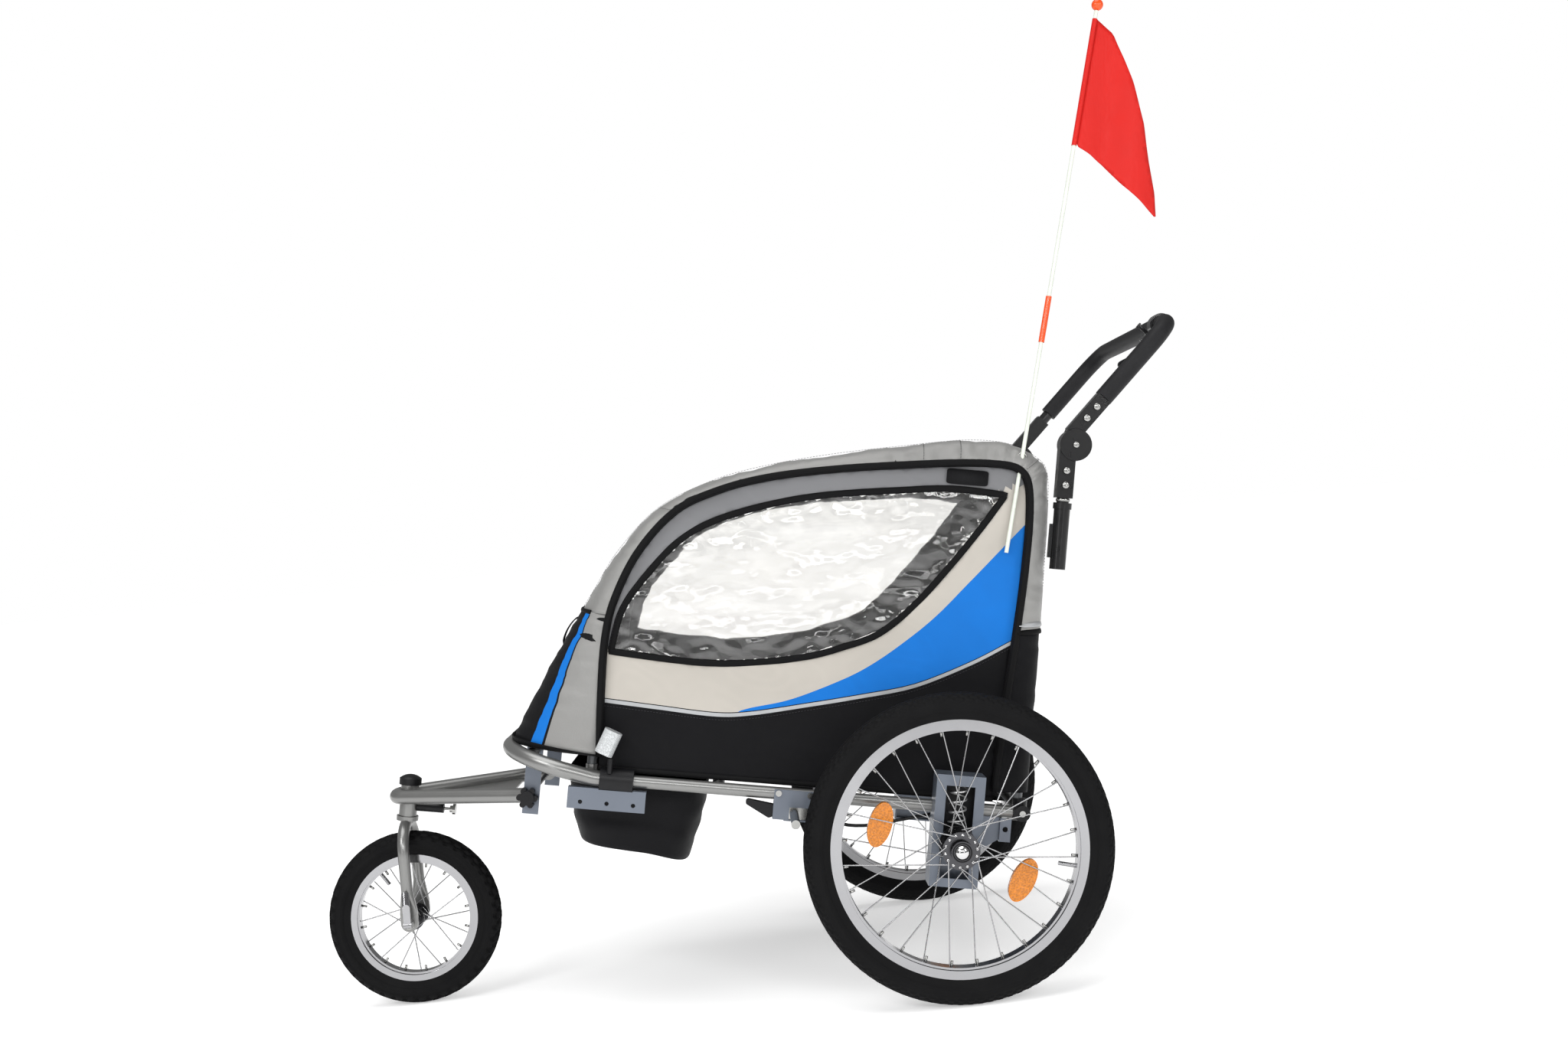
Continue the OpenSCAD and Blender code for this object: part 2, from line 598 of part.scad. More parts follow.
front_rim_depth = 12;
module front_tyre() color("dimgray") at_front_wheel()
    tyre_ring(front_r, front_tyre_w, front_bead_r, 25);
module front_rim() color("silver") at_front_wheel() {
    rim_ring(front_bead_r, front_rim_depth, 25);
    rotate([0, 0, 124]) translate([front_bead_r - front_rim_depth, 0, 0]) rotate([0, -90, 0])
        cylinder(h = 24, d = 6.5);
}
module front_spokes() color("silver") at_front_wheel()
    spoke_set(front_spokes_n, 15, 19, 20, front_bead_r - front_rim_depth - 1, spoke_d, 3);
module front_hub() color("gray") at_front_wheel() difference() {
    union() {
        translate([0, 0, -front_hub_half]) cylinder(h = 2 * front_hub_half, r = 9);
        translate([0, 0, -26]) cylinder(h = 52, r = 12);
        for (s = [-1, 1]) translate([0, 0, s * 20 - 1.5]) cylinder(h = 3, r = 19);
    }
    translate([0, 0, -front_hub_half - 1])
        cylinder(h = 2 * front_hub_half + 2, d = skewer_d + 2 * run);
}

// ---- push bar ----
module push_bar_sleeves() color("dimgray") on_chassis() both() {
    difference() {
        union() {
            translate([leg_x, -leg_y, sleeve_bottom])
                cylinder(h = sleeve_top - sleeve_bottom, d = bar_d + 6);
            translate([leg_x, -leg_y, sleeve_top]) cylinder(h = 10, d = bar_d + 10);
            box(116.5, leg_x, -leg_y - 3, -leg_y + 9, 465, 520);
        }
        translate([leg_x, -leg_y, sleeve_bottom - 1])
            cylinder(h = sleeve_top - sleeve_bottom + 12, d = bar_d + 2 * run);
    }
}
module push_bar_legs() color("dimgray") on_chassis() both() {
    translate([leg_x, -leg_y, 458]) cylinder(h = 112, d = bar_d);
    difference() {
        union() {
            box(leg_x - 13.5, leg_x + 13.5, -leg_y - half_t, -leg_y + half_t, 563, pivot_z - 8);
            along_y(leg_x - 1, -leg_y - half_t, -leg_y + half_t, pivot_z - 8, 25);
        }
        along_y(pivot_x, -leg_y - 0.2, -leg_y + 30, pivot_z, 2 * disc_r + 1);
    }
    along_y(pivot_x, -leg_y - 14, -leg_y - 0.2, pivot_z, 2 * disc_r);
    along_y(pivot_x, -leg_y - 16, -leg_y + 15, pivot_z, pivot_d);
    for (z = [583.6, 607.2]) along_y(leg_x, -leg_y - half_t - 2, -leg_y - half_t + 1, z, 9);
}
module at_bar() {
    on_chassis() translate([pivot_x, 0, pivot_z]) rotate([0, bar_angle, 0]) children();
}
module push_bar_frame() color("dimgray") at_bar() {
    both() {
        difference() {
            union() {
                box(bar_off - 13, bar_off + 13, -leg_y - half_t, -leg_y + half_t, 12, 88);
                along_y(bar_off + 3, -leg_y - half_t, -leg_y + half_t, 14, 30);
                along_y(0, -leg_y + 0.2, -leg_y + 14, 0, 2 * disc_r);
            }
            along_y(0, -leg_y - 30, -leg_y + 0.2, 0, 2 * disc_r + 1);
            along_y(0, -leg_y - 1, -leg_y + 16, 0, pivot_d + 2 * run);
        }
        for (z = [44.5, 69]) along_y(bar_off, -leg_y - half_t - 2, -leg_y - half_t + 1, z, 9);
        translate([bar_off, -leg_y, 86]) cylinder(h = bar_len - bar_bend - 86, d = bar_d);
        translate([bar_off, -leg_y + bar_bend, bar_len - bar_bend]) rotate([90, 0, -90])
            rotate_extrude(angle = 90) translate([bar_bend, 0]) circle(d = bar_d);
    }
    along_y(bar_off, -leg_y + bar_bend, leg_y - bar_bend, bar_len, bar_d);
}
module grip_2d() {
    difference() {
        circle(d = grip_d);
        circle(d = bar_d + 0.2);
    }
}
module push_bar_grip() color("dimgray") at_bar() {
    for (side = [-1, 1]) {
        low = side < 0 ? 88.5 : 105;
        translate([bar_off, side * leg_y, low]) linear_extrude(bar_len - bar_bend - low) grip_2d();
    }
    both() translate([bar_off, -leg_y + bar_bend, bar_len - bar_bend]) rotate([90, 0, -90])
        rotate_extrude(angle = 90) translate([bar_bend, 0]) grip_2d();
    translate([bar_off, leg_y - bar_bend, bar_len]) rotate([90, 0, 0])
        linear_extrude(2 * (leg_y - bar_bend)) grip_2d();
}
clamp_y = -190;
module hand_lever_clamp() color("dimgray") at_bar() difference() {
    union() {
        along_y(bar_off, clamp_y - 11, clamp_y + 11, bar_len, grip_d + 8);
        box(bar_off - 8, bar_off + 8, clamp_y - 9, clamp_y - 3, bar_len - 40, bar_len - 12);
        box(bar_off - 8, bar_off + 8, clamp_y + 3, clamp_y + 9, bar_len - 40, bar_len - 12);
        box(bar_off - 8, bar_off - 3, clamp_y - 9, clamp_y + 9, bar_len - 30, bar_len - 12);
        along_x(bar_off - 26, bar_off - 4, clamp_y, bar_len - 24, 6);
        along_x(bar_off - 28, bar_off - 25, clamp_y, bar_len - 24, 10);
    }
    along_y(bar_off, clamp_y - 20, clamp_y + 20, bar_len, grip_d + 0.4);
    along_y(bar_off + 3, clamp_y - 20, clamp_y + 20, bar_len - 36, 5 + 2 * run);
}
module hand_lever() color("dimgray") at_bar() {
    along_y(bar_off + 3, clamp_y - 8.5, clamp_y + 8.5, bar_len - 36, 5);
    hull() {
        along_y(bar_off + 3, clamp_y - 2.6, clamp_y + 2.6, bar_len - 36, 9);
        along_y(bar_off + 6, clamp_y - 2.6, clamp_y + 2.6, bar_len - 60, 10);
    }
    hull() {
        along_y(bar_off + 6, clamp_y - 2.6, clamp_y + 2.6, bar_len - 60, 10);
        along_y(bar_off - 4, clamp_y - 2.6, clamp_y + 2.6, bar_len - 92, 14);
    }
}

// ---- parking brake ----
module brake_bracket(with_pin) color("slategray") {
    outer = rail_y + rail_d / 2 + 0.2;
    difference() {
        box(-294, -231, -outer - plate_t, -outer, 10, 58);
        box(peg_x - 8, -230, -outer - plate_t - 1, -outer + 1, 9, 31);
        for (x = [-287, -236]) along_y(x, -outer - 5, -outer + 5, rail_z + 2, 6.2);
        if (!with_pin) along_y(pedal_x, -outer - 5, -outer + 5, pedal_z, 6);
    }
    box(-276, -222, -outer, -rail_y + 9, 8, 11);
    box(-294, -222, -rail_y + 6, -rail_y + 9, 8, 38);
    difference() {
        box(-226, -222, -rail_y - 8, -rail_y + 6, 11, 34);
        along_x(-230, -220, -277 * rail_y / 275, 22, 3);
    }
    if (with_pin) along_y(pedal_x, -outer - plate_t, -rail_y + 9, pedal_z, 6);
}
module brake_brackets() on_chassis() {
    brake_bracket(true);
    mirror([0, 1, 0]) brake_bracket(false);
}
module brake_peg() {
    color("dimgray") box(-278, -238, -rail_y - rail_d / 2 + 0.4, -rail_y + 5.6, 11.6, 36);
    color("silver") along_y(peg_x, -wheel_y - 35, -rail_y - rail_d / 2 + 1, peg_z, peg_d);
}
module left_brake_peg() on_chassis() brake_peg();
module right_brake_peg() on_chassis() mirror([0, 1, 0]) brake_peg();
module brake_pedal() color("dimgray") on_chassis() difference() {
    hull() {
        along_y(pedal_x, -rail_y - rail_d / 2 + 0.6, -rail_y + 5.4, pedal_z, 15);
        along_y(-300, -rail_y - rail_d / 2 + 0.6, -rail_y + 5.4, 16, 10);
        along_y(-334, -rail_y - rail_d / 2 + 0.6, -rail_y + 5.4, 33, 9);
    }
    along_y(pedal_x, -rail_y - 20, -rail_y + 20, pedal_z, 6 + 2 * run);
}
// a round cable swept along points
module swept(pts, d, k) {
    n = len(pts);
    t = [for (i = [0:n - 1]) let (v = pts[min(i + 1, n - 1)] - pts[max(i - 1, 0)]) v / norm(v)];
    up = [0, 0, 1];
    u = [for (v = t) let (w = cross(v, up)) w / norm(w)];
    ring = [for (i = [0:n - 1], j = [0:k - 1]) let (a = j * 360 / k)
        pts[i] + d / 2 * (u[i] * cos(a) + cross(t[i], u[i]) * sin(a))];
    polyhedron(ring, concat([[for (j = [k - 1:-1:0]) j]],
        [for (i = [0:n - 2], j = [0:k - 1]) let (q = (j + 1) % k)
            [i * k + j, i * k + q, (i + 1) * k + q, (i + 1) * k + j]],
        [[for (j = [0:k - 1]) (n - 1) * k + j]]), convexity = 6);
}
module brake_cable() color("dimgray") on_chassis() {
    fit_y = rail_y / 275;
    half = [for (k = [0:30]) let (p = at(cable_pts, k / 3)) [p[0], p[1] * fit_y, p[2]]];
    other = [for (k = [29:-1:0]) [half[k][0], -half[k][1], half[k][2]]];
    swept(concat(half, other), 5.5, 8);
}
module frame_bolts() color("silver") on_chassis() {
    outer = rail_y + rail_d / 2 + plate_t + 0.2;
    both() for (x = [-287, -236]) {
        along_y(x, -outer - 3, -outer - 0.1, rail_z + 2, 10);
        along_y(x, -outer - 3, -rail_y + rail_d / 2 + 4, rail_z + 2, 6);
    }
    both() along_y(tail_x, -rail_y - corner_r - 2, -rail_y - corner_r + 2.8, rail_z, 10);
}

// ---- cabin fabric ----
// a sheet between the cover's side edge and its middle line, from point t0 to point t1
module cover_sheet(t0, t1, rows) {
    m = 8;
    cols = 2 * m + 3;
    function shell(k, s, inset) =
        let (t = t0 + (t1 - t0) * k / rows,
            p = scaled(at(side_pts, t)), o = scaled(at(crown_pts, t)),
            d = scaled(at(crown_pts, min(t + 0.05, 18))) - scaled(at(crown_pts, max(t - 0.05, 0))),
            n = [d[1], -d[0]] / norm(d), c = at([for (w = shoulder) [w, 0]], t)[0],
            a = abs(s) > 1 ? min(90, (abs(s) - 1) * 90) : 0,
            flat = cover_y - c, y = abs(s) <= 1 ? flat * abs(s) : flat + (c - inset) * sin(a),
            q = p + (o + n * inset - p) * cos(a))
        [q[0], sign(s) * y, q[1]];
    steps = [for (j = [0:cols - 1]) let (e = j - (m + 1))
        e == 0 ? 0 : sign(e) * (abs(e) == 1 ? 1 : 1 + (abs(e) - 1) / m)];
    outer = [for (k = [0:rows], s = steps) shell(k, s, 0)];
    inner = [for (k = [0:rows], s = steps) shell(k, s, cover_t)];
    n = len(outer);
    polyhedron(concat(outer, inner), concat(
        [for (k = [0:rows - 1], j = [0:cols - 2])
            [k * cols + j, k * cols + j + 1, (k + 1) * cols + j + 1, (k + 1) * cols + j]],
        [for (k = [0:rows - 1], j = [0:cols - 2])
            [n + k * cols + j, n + (k + 1) * cols + j, n + (k + 1) * cols + j + 1,
                n + k * cols + j + 1]],
        [for (k = [0:rows - 1]) [k * cols, (k + 1) * cols, n + (k + 1) * cols, n + k * cols]],
        [for (k = [0:rows - 1]) let (j = cols - 1)
            [k * cols + j, n + k * cols + j, n + (k + 1) * cols + j, (k + 1) * cols + j]],
        [for (j = [0:cols - 2]) [j, n + j, n + j + 1, j + 1]],
        [for (j = [0:cols - 2]) let (b = rows * cols)
            [b + j, b + j + 1, n + b + j + 1, n + b + j]]), convexity = 10);
}
module pole_line(d, h) {
    translate([pole_x, -pole_y, pole_z]) rotate([-pole_lean, pole_tilt, 0]) cylinder(h = h, d = d);
}
module roof_cover() color("lightgray") on_chassis() difference() {
    cover_sheet(front_end, rear_start, 40);
    pole_line(pole_d + 3, 400);
}
module front_cover() color("black") on_chassis() cover_sheet(0, front_end - 0.01, 8);
module rear_cover() color("black") on_chassis() cover_sheet(rear_start + 0.01, 18, 6);
side_edge = curve(side_pts, 0, 18, 72);
window_edge = concat(curve(window_top, 0, 9, 36), curve(window_low, 0.25, 8.75, 34));
module side_panels() color("tan") on_chassis() both() {
    difference() {
        plate(concat(side_edge, [[side_edge[72][0], rail_z + rail_d / 2 + 3],
            [side_edge[0][0], rail_z + rail_d / 2 + 3]]), -panel_y, -panel_y + 2);
        plate(window_edge, -panel_y - 1, -panel_y + 3);
        along_x(sleeve_x - 28, sleeve_x + 28, -rail_y, rail_z, 41);
    }
}
module windows() color("lightblue") on_chassis() both()
    translate([0, -panel_y + 1.5, 0]) rotate([90, 0, 0]) linear_extrude(1)
    offset(delta = -gap) polygon(window_edge);
module footwell_bag() color("black") on_chassis() {
    w = inner_y - 24;
    floor_z = rail_z + rail_d / 2 + 1;
    difference() {
        union() {
            box(-646, tail_x - 20, -inner_y + 2, inner_y - 2, floor_z, floor_z + 2);
            hull() {
                box(-640, -400, -w, w, floor_z - 20, floor_z);
                box(-606, -412, -w + 20, w - 20, -bag_depth, -bag_depth + 10);
            }
        }
        hull() {
            box(-638, -402, -w + 2, w - 2, floor_z - 20, floor_z + 3);
            box(-604.5, -414, -w + 21.5, w - 21.5, -bag_depth + 2, -bag_depth + 12);
        }
        both() box(-660, kink_x + 12, -rail_y, -inner_y + 12, 40, 80);
    }
}
module cushion(l, w, h) {
    hull() both() for (x = [h / 2, l - h / 2]) translate([x, -w / 2 + h / 2, 0])
        sphere(d = h, $fn = 24);
}
seat_w = 2 * inner_y - 54;
back_x = -45;                             // foot of the seat back
back_z = 126;
module seat_base() color("dimgray") on_chassis()
    translate([-392, 0, 88]) rotate([0, -3, 0]) cushion(330, seat_w, 34);
module seat_back() color("dimgray") on_chassis()
    translate([back_x, 0, back_z]) rotate([0, -75, 0]) cushion(410, seat_w, 30);
module harness() color("black") on_chassis() {
    both() for (y = [-150, -70]) translate([back_x, y - 16, back_z]) rotate([0, -75, 0])
        translate([100, 0, 15.6]) cube([250, 32, 2]);
    both() translate([-262, -126, 114.5]) rotate([0, -3, 0]) cube([180, 32, 2]);
}

// ---- flag ----
module flag_pole() color("gainsboro") on_chassis() pole_line(pole_d, pole_len);
module at_pole(h) {
    translate([pole_x, -pole_y, pole_z]) rotate([-pole_lean, pole_tilt, 0])
        translate([0, 0, h]) children();
}
module flag_fittings() color("orangered") on_chassis() {
    at_pole(347) difference() {
        cylinder(h = 76, d = pole_d + 3);
        translate([0, 0, -1]) cylinder(h = 78, d = pole_d + 0.5);
    }
    at_pole(pole_len + gap) translate([0, 0, 9.5]) sphere(r = 9.5);
}
module flag_pennant() color("red") on_chassis() at_pole(0) {
    top = pole_len - 14;
    translate([0, -0.6, 0]) rotate([90, 0, 0]) translate([0, 0, -1.2]) linear_extrude(1.2)
        polygon([[pole_d / 2 + gap, top], [pole_d / 2 + gap, top - 212], [52, top - 235],
            [86, top - 262], [153, top - 306], [126, top - 220], [78, top - 94],
            [34, top - 18]]);
}

front_bumper();
base_frame();
cabin_frame();
corner_joints();
left_suspension_bracket();
right_suspension_bracket();
drawbar_bracket();
bumper_sleeves();
front_reflectors();
arm_brackets();
jogger_arm();
head_cap();
lock_pin_housing();
push_bar_sleeves();
brake_brackets();
brake_cable();
roof_cover();
side_panels();
windows();
front_cover();
rear_cover();
footwell_bag();
seat_base();
seat_back();
harness();
frame_bolts();
left_axle_slider();
right_axle_slider();
left_spring();
right_spring();
left_tyre();
left_rim();
left_spokes();
left_hub();
left_spoke_reflectors();
right_tyre();
right_rim();
right_spokes();
right_hub();
right_spoke_reflectors();
fork();
front_tyre();
front_rim();
front_spokes();
front_hub();
front_skewer();
quick_release_lever();
lock_pin();
star_knobs();
push_bar_legs();
push_bar_frame();
push_bar_grip();
hand_lever_clamp();
hand_lever();
brake_pedal();
left_brake_peg();
right_brake_peg();
flag_pole();
flag_pennant();
flag_fittings();
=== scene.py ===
"""Looks of a child bicycle trailer in stroller form: fabrics, tyres, finishes, light and camera."""
import math
from math import cos, pi, radians, sin

import bpy
import numpy as np
from mathutils import Matrix, Vector, noise
from mathutils.geometry import delaunay_2d_cdt


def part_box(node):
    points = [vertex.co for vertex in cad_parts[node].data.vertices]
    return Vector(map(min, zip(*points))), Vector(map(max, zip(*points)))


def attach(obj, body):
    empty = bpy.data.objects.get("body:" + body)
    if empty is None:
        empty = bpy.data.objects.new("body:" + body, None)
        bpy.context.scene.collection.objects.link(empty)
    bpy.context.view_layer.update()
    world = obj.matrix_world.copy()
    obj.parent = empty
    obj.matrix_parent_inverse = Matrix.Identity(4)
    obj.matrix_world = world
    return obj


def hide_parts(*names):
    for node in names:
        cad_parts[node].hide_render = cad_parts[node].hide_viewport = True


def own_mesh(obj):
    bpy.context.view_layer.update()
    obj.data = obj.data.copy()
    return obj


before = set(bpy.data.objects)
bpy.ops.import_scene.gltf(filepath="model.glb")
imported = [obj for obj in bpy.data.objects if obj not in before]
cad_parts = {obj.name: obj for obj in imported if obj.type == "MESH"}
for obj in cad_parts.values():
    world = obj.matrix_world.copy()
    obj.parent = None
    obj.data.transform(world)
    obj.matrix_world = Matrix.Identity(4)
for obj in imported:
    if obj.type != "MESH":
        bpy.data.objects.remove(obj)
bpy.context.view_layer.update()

# ---- the chassis frame
# Places are in millimetres in the chassis frame: x to the rear and z up from the rear axle,
# y to the right. The trailer stands nose up, so row() turns them into metres in the row frame.
NOSE_UP = radians(10.6)
COS, SIN = cos(NOSE_UP), sin(NOSE_UP)
SIDES = (("left", -1), ("right", 1))
RAIL_Y = 275
INNER_Y = RAIL_Y - 23
PANEL_Y = RAIL_Y - 8
COVER_Y = RAIL_Y + 4
RAIL_Z = 50


def middle_and_half(node):
    """The middle of a CAD node's box, and its half size along each axis."""
    low, high = (np.array(corner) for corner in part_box(node))
    return (low + high) / 2, (high - low) / 2


(AXLE_X, _, AXLE_Z), _ = middle_and_half("left_tyre")


def row(points):
    """Chassis millimetres to row metres, for one point or an array of them."""
    p = np.asarray(points, float)
    x = AXLE_X + (COS * p[..., 0] + SIN * p[..., 2]) / 1000
    z = AXLE_Z + (-SIN * p[..., 0] + COS * p[..., 2]) / 1000
    return np.stack([x, p[..., 1] / 1000, z], -1)


# outlines as (x, z), the same points as the CAD model's, and how far the cover rounds over each
SIDE_EDGE = [(-580, 86), (-586, 190), (-587, 275), (-577, 340), (-545, 420), (-491, 490),
             (-425, 529), (-345, 557), (-240, 579), (-130, 595), (-30, 607), (35, 609), (62, 601),
             (76, 578), (82, 521), (81, 430), (76, 339), (68, 224), (60, 80)]
CROWN = [(-733, 92), (-694, 187), (-655, 272), (-618, 345), (-580, 418), (-520, 493),
         (-435, 545), (-348, 577), (-240, 605), (-130, 627), (-30, 645), (42, 645), (90, 626),
         (110, 600), (116, 524), (118, 420), (119, 345), (120, 210), (120, 80)]
SHOULDER = [105, 95, 80, 62, 46, 40, 36, 34, 34, 34, 34, 34, 34, 36, 38, 38, 38, 38, 38]
FRONT_END = 2.6
REAR_START = 16
WINDOW_TOP = [(-576, 255), (-565, 317), (-540, 366), (-486, 437), (-429, 478), (-343, 512),
              (-254, 535), (-135, 553), (-45, 563), (40, 560)]
WINDOW_LOW = [(40, 560), (8, 508), (-35, 445), (-90, 373), (-145, 320), (-204, 292),
              (-262, 272), (-351, 255), (-440, 249), (-576, 255)]
STRIPE = [(-620, 180), (-574, 178), (-494, 174), (-403, 170), (-344, 176), (-256, 196),
          (-167, 218), (-80, 243), (7, 286), (65, 322), (110, 350)]
SWOOSH = [(-372, 171), (-345, 182), (-286, 199), (-228, 225), (-170, 257), (-114, 300),
          (-58, 353), (-4, 417), (73, 511), (110, 556)]


def at(points, t):
    """Point t of a smooth curve through points."""
    p = np.asarray(points, float)
    n = len(p) - 1
    i = min(int(math.floor(t)), n - 1)
    f = t - i
    a, b, c, d = p[max(i - 1, 0)], p[i], p[i + 1], p[min(i + 2, n)]
    return 0.5 * (2 * b + (c - a) * f + (2 * a - 5 * b + 4 * c - d) * f * f
                  + (3 * b - a - 3 * c + d) * f ** 3)


def curve(points, start, end, count):
    return np.array([at(points, start + (end - start) * k / count) for k in range(count + 1)])


def ripple(x, y, z=0.0, seed=0.0):
    return noise.noise(Vector((x, y, z + seed)))


# ---- materials
def link(tree, a, b):
    tree.links.new(a, b)


def coords(tree, tilt=0.0, scale=(1, 1, 1)):
    place = tree.nodes.new("ShaderNodeTexCoord")
    turn = tree.nodes.new("ShaderNodeMapping")
    turn.inputs["Rotation"].default_value = (0, tilt, 0)
    turn.inputs["Scale"].default_value = scale
    link(tree, place.outputs["Object"], turn.inputs["Vector"])
    return turn.outputs["Vector"]


def noise_tex(tree, vector, scale, detail=3.0):
    tex = tree.nodes.new("ShaderNodeTexNoise")
    tex.inputs["Scale"].default_value = scale
    tex.inputs["Detail"].default_value = detail
    link(tree, vector, tex.inputs["Vector"])
    return tex.outputs["Fac"]


def cells(tree, vector, scale):
    tex = tree.nodes.new("ShaderNodeTexVoronoi")
    tex.inputs["Scale"].default_value = scale
    link(tree, vector, tex.inputs["Vector"])
    return tex.outputs["Distance"]


def threads(tree, vector, pitch, direction):
    tex = tree.nodes.new("ShaderNodeTexWave")
    tex.bands_direction = direction
    tex.inputs["Scale"].default_value = pi / 10 / pitch
    tex.inputs["Distortion"].default_value = 0.4
    tex.inputs["Detail"].default_value = 1.0
    link(tree, vector, tex.inputs["Vector"])
    return tex.outputs["Fac"]


def maths(tree, operation, a, b):
    node = tree.nodes.new("ShaderNodeMath")
    node.operation = operation
    for socket, value in zip(node.inputs, (a, b)):
        if isinstance(value, (int, float)):
            socket.default_value = value
        else:
            link(tree, value, socket)
    return node.outputs[0]


def spread(tree, value, low, high, from_low=0.3, from_high=0.7):
    node = tree.nodes.new("ShaderNodeMapRange")
    node.inputs["From Min"].default_value = from_low
    node.inputs["From Max"].default_value = from_high
    node.inputs["To Min"].default_value = low
    node.inputs["To Max"].default_value = high
    link(tree, value, node.inputs["Value"])
    return node.outputs["Result"]


def roughened(tree, shader, value, low, high):
    """Lets the roughness run from low to high with a pattern."""
    link(tree, spread(tree, value, low, high), shader.inputs["Roughness"])


def tinted(tree, shader, factor, first, second):
    """Blends the base colour from first to second with a pattern."""
    node = tree.nodes.new("ShaderNodeMix")
    node.data_type = "RGBA"
    link(tree, factor, node.inputs["Factor"])
    node.inputs["A"].default_value = (*first, 1)
    node.inputs["B"].default_value = (*second, 1)
    link(tree, node.outputs["Result"], shader.inputs["Base Color"])


def bumped(tree, shader, height, depth, strength=1.0):
    node = tree.nodes.new("ShaderNodeBump")
    node.inputs["Distance"].default_value = depth
    node.inputs["Strength"].default_value = strength
    link(tree, height, node.inputs["Height"])
    if shader.inputs["Normal"].is_linked:
        link(tree, shader.inputs["Normal"].links[0].from_socket, node.inputs["Normal"])
    link(tree, node.outputs["Normal"], shader.inputs["Normal"])


MAT = {}


def new_material(name, color, roughness, metallic=0.0, **settings):
    """A material, kept in MAT by its name; further settings are the shader's own sockets."""
    material = bpy.data.materials.new(name)
    MAT[name] = material
    material.use_nodes = True
    shader = material.node_tree.nodes["Principled BSDF"]
    shader.inputs["Base Color"].default_value = (*color, 1)
    shader.inputs["Roughness"].default_value = roughness
    shader.inputs["Metallic"].default_value = metallic
    for key, value in settings.items():
        shader.inputs[key.replace("_", " ")].default_value = value
    return material.node_tree, shader


def shaded(color, factor):
    return tuple(min(1, c * factor) for c in color)


def metal(name, color, roughness, metallic=1.0, grain=240, wear=0.04, coat=0.0):
    """Bare, plated or painted metal: fine surface grain, faint clouding and duller patches."""
    tree, shader = new_material(name, color, roughness, metallic, Coat_Weight=coat,
                                Coat_Roughness=0.12)
    place = coords(tree)
    cloud = noise_tex(tree, place, 14, 5)
    tinted(tree, shader, cloud, shaded(color, 0.92), shaded(color, 1.06))
    roughened(tree, shader, noise_tex(tree, place, 60, 4), roughness - wear, roughness + wear)
    bumped(tree, shader, noise_tex(tree, place, grain, 1), 0.000001, 0.3)


def plastic(name, color, roughness, grain=1400, depth=0.00005, gloss=0.45):
    """Moulded plastic: a fine spark-eroded grain and slightly polished high spots."""
    tree, shader = new_material(name, color, roughness, Specular_IOR_Level=gloss)
    place = coords(tree)
    tinted(tree, shader, noise_tex(tree, place, 25, 4), shaded(color, 0.8), shaded(color, 1.25))
    roughened(tree, shader, noise_tex(tree, place, 90, 3), roughness - 0.08, roughness + 0.08)
    bumped(tree, shader, cells(tree, place, grain), depth)


def cloth(name, color, roughness=0.75, sheen=0.25, pitch=0.0009, metallic=0.0, crease=0.0006,
          gloss=0.5):
    """Woven nylon: crossed threads, soft creases and uneven dye."""
    tree, shader = new_material(name, color, roughness, metallic, Sheen_Weight=sheen,
                                Sheen_Roughness=0.4, Specular_IOR_Level=gloss)
    place = coords(tree, NOSE_UP)
    dye = noise_tex(tree, place, 9, 6)
    warp = threads(tree, place, pitch, "X")
    weft = maths(tree, "MAXIMUM", threads(tree, place, pitch, "Z"), threads(tree, place, pitch, "Y"))
    weave = maths(tree, "MULTIPLY", warp, weft)
    tone = maths(tree, "ADD", maths(tree, "MULTIPLY", dye, 0.7), maths(tree, "MULTIPLY", weave, 0.3))
    tinted(tree, shader, tone, shaded(color, 0.82), shaded(color, 1.12))
    bumped(tree, shader, weave, 0.00018, 0.7)
    bumped(tree, shader, noise_tex(tree, place, 38, 4), crease, 0.6)


def rubber(name, color):
    """Tyre rubber, dusty in patches."""
    tree, shader = new_material(name, color, 0.72, Specular_IOR_Level=0.11)
    place = coords(tree)
    dust = noise_tex(tree, place, 30, 6)
    tinted(tree, shader, dust, shaded(color, 0.75), shaded(color, 1.7))
    roughened(tree, shader, dust, 0.6, 0.85)
    bumped(tree, shader, noise_tex(tree, place, 1200, 3), 0.00012)


def foam(name, color):
    """Grip foam with fine open cells."""
    tree, shader = new_material(name, color, 0.55, Specular_IOR_Level=0.22)
    place = coords(tree)
    tinted(tree, shader, noise_tex(tree, place, 40, 5), shaded(color, 0.7), shaded(color, 1.8))
    bumped(tree, shader, cells(tree, place, 900), 0.00022, 0.8)
    bumped(tree, shader, noise_tex(tree, place, 70, 3), 0.0006, 0.4)


def reflector(name, color, transmission, prism_scale=330):
    """A clear or amber lens over rows of small prisms."""
    tree, shader = new_material(name, color, 0.22, Coat_Weight=0.4, Coat_Roughness=0.05,
                                Transmission_Weight=transmission)
    place = coords(tree, NOSE_UP)
    prisms = cells(tree, place, prism_scale)
    tinted(tree, shader, prisms, shaded(color, 0.55), shaded(color, 1.25))
    bumped(tree, shader, prisms, 0.35 / prism_scale, 0.8)


def vinyl(name, color, thin_color):
    """Clear soft vinyl, glossy and softly rippled."""
    tree, shader = new_material(name, color, 0.04, Transmission_Weight=1.0, IOR=1.38,
                                Coat_Weight=1.0, Coat_Roughness=0.03)
    place = coords(tree, NOSE_UP, (1, 1, 1.6))
    tinted(tree, shader, noise_tex(tree, place, 7, 4), color, thin_color)
    bumped(tree, shader, noise_tex(tree, place, 9, 2), 0.028, 0.7)
    bumped(tree, shader, noise_tex(tree, place, 26, 1), 0.007, 0.7)


